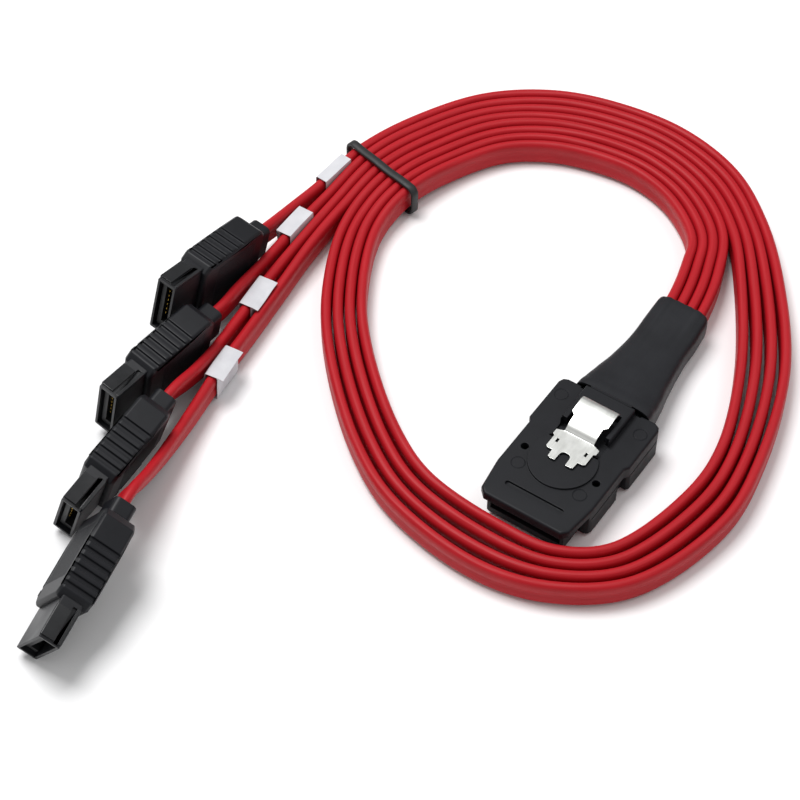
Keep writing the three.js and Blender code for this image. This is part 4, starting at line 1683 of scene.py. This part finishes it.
LIGHTS = (
    SoftLight("key", (-0.33, 0.03, 0.8), (-0.03, 0.01, 0), 0.42, 6.4),
    SoftLight("fill", (0.3, 0.35, 0.7), (-0.03, 0, 0), 0.5, 1.0),
)


@dataclass
class Studio:
    """Camera, soft overhead light and pale floor."""

    eye: Vector = field(default_factory=lambda: Vector((130.58, -251.6, 372.41)) * MM)
    target: Vector = field(default_factory=lambda: Vector((-40.73, -1.88, 0)) * MM)
    lens: float = 100.48
    sensor: float = 36.0
    ambient: float = 0.42
    floor_half: float = 2.0
    floor_drop: float = 0.05 * MM

    def camera(self) -> None:
        """Places the camera."""
        data = bpy.data.cameras.new("camera")
        data.lens, data.sensor_width = self.lens, self.sensor
        data.clip_start, data.clip_end = 0.01, 20
        camera = bpy.data.objects.new("camera", data)
        bpy.context.scene.collection.objects.link(camera)
        camera.location = self.eye
        camera.rotation_mode = "QUATERNION"
        camera.rotation_quaternion = (self.target - self.eye).to_track_quat("-Z", "Y")
        bpy.context.scene.camera = camera

    def world(self) -> None:
        """White backdrop for the camera, softer fill for everything else."""
        world = bpy.data.worlds.new("studio")
        world.use_nodes = True
        tree = world.node_tree
        tree.nodes.clear()
        rays = tree.nodes.new("ShaderNodeLightPath")
        fill = tree.nodes.new("ShaderNodeBackground")
        fill.inputs["Strength"].default_value = self.ambient
        white = tree.nodes.new("ShaderNodeBackground")
        mix = tree.nodes.new("ShaderNodeMixShader")
        output = tree.nodes.new("ShaderNodeOutputWorld")
        for back in (fill, white):
            back.inputs["Color"].default_value = (1, 1, 1, 1)
        tree.links.new(rays.outputs["Is Camera Ray"], mix.inputs[0])
        tree.links.new(fill.outputs[0], mix.inputs[1])
        tree.links.new(white.outputs[0], mix.inputs[2])
        tree.links.new(mix.outputs[0], output.inputs["Surface"])
        bpy.context.scene.world = world

    def floor(self, low: float) -> None:
        """Lays the floor.

        Args:
            low: Height of the object's lowest point.
        """
        graph = Graph("floor_white_card")
        place = graph.millimetres(Coordinates.OBJECT)
        tone = graph.ramp(graph.noise(place, 90.0, 2.0), [(0.3, "#f6f6f7"), (0.7, "#f9f9f9")])
        material = graph.shade(Base_Color=tone, Roughness=0.9, Specular_IOR_Level=0.1)
        s, z = self.floor_half, low - self.floor_drop
        corners = [(-s, -s, z), (s, -s, z), (s, s, z), (-s, s, z)]
        mesh = mesh_of("floor", corners, [(0, 1, 2, 3)], material)
        floor = bpy.data.objects.new("floor", mesh)
        bpy.context.scene.collection.objects.link(floor)

    def build(self, low: float) -> None:
        """Makes the whole studio.

        Args:
            low: Height of the object's lowest point.
        """
        self.camera()
        self.world()
        for light in LIGHTS:
            light.build()
        self.floor(low)
        bpy.context.scene.view_settings.view_transform = "Standard"


class BreakoutCable:
    """The whole cable: plug, sleeve, four flat cables, labels, tie and SATA plugs."""

    exit = Vector((-1.2, 50.6, 3.9)) * MM
    cable_width = 6.2 * MM

    def __init__(self, finishes: Finishes) -> None:
        """Keeps the finishes.

        Args:
            finishes: Every material.
        """
        self.finishes = finishes
        self.row = row_tree()

    def cables(self) -> None:
        tie = CableTie().build(self.finishes.rubber)
        for label in LABELS:
            course = Course(label.cable)
            cable = FlatCable(label.cable + 1, course)
            piece = cable.build(self.finishes.jacket)
            wrap = label.build(course, self.finishes.label)
            LOG.info("cable %d is %.1f mm long", cable.number, course.length / MM)
            tuple(self.exit)
            [tuple(cable.settled(s)) for s in cable.stations()]

    def build(self) -> None:
        """Makes every piece."""
        self.cables()
        PlugHousing(self.finishes, self.row).build()
        ShrinkSleeve().build(self.finishes.sleeve)
        for pose in SATA_POSES:
            SataPlug(pose, self.finishes, self.row).build()


def main() -> None:
    """Builds the studio and the cable."""
    logging.basicConfig(level=logging.INFO, format="%(name)s: %(message)s")
    Studio().build(CAD_BOUNDS[0].z)
    BreakoutCable(Finishes()).build()


if __name__ == "__main__":
    main()
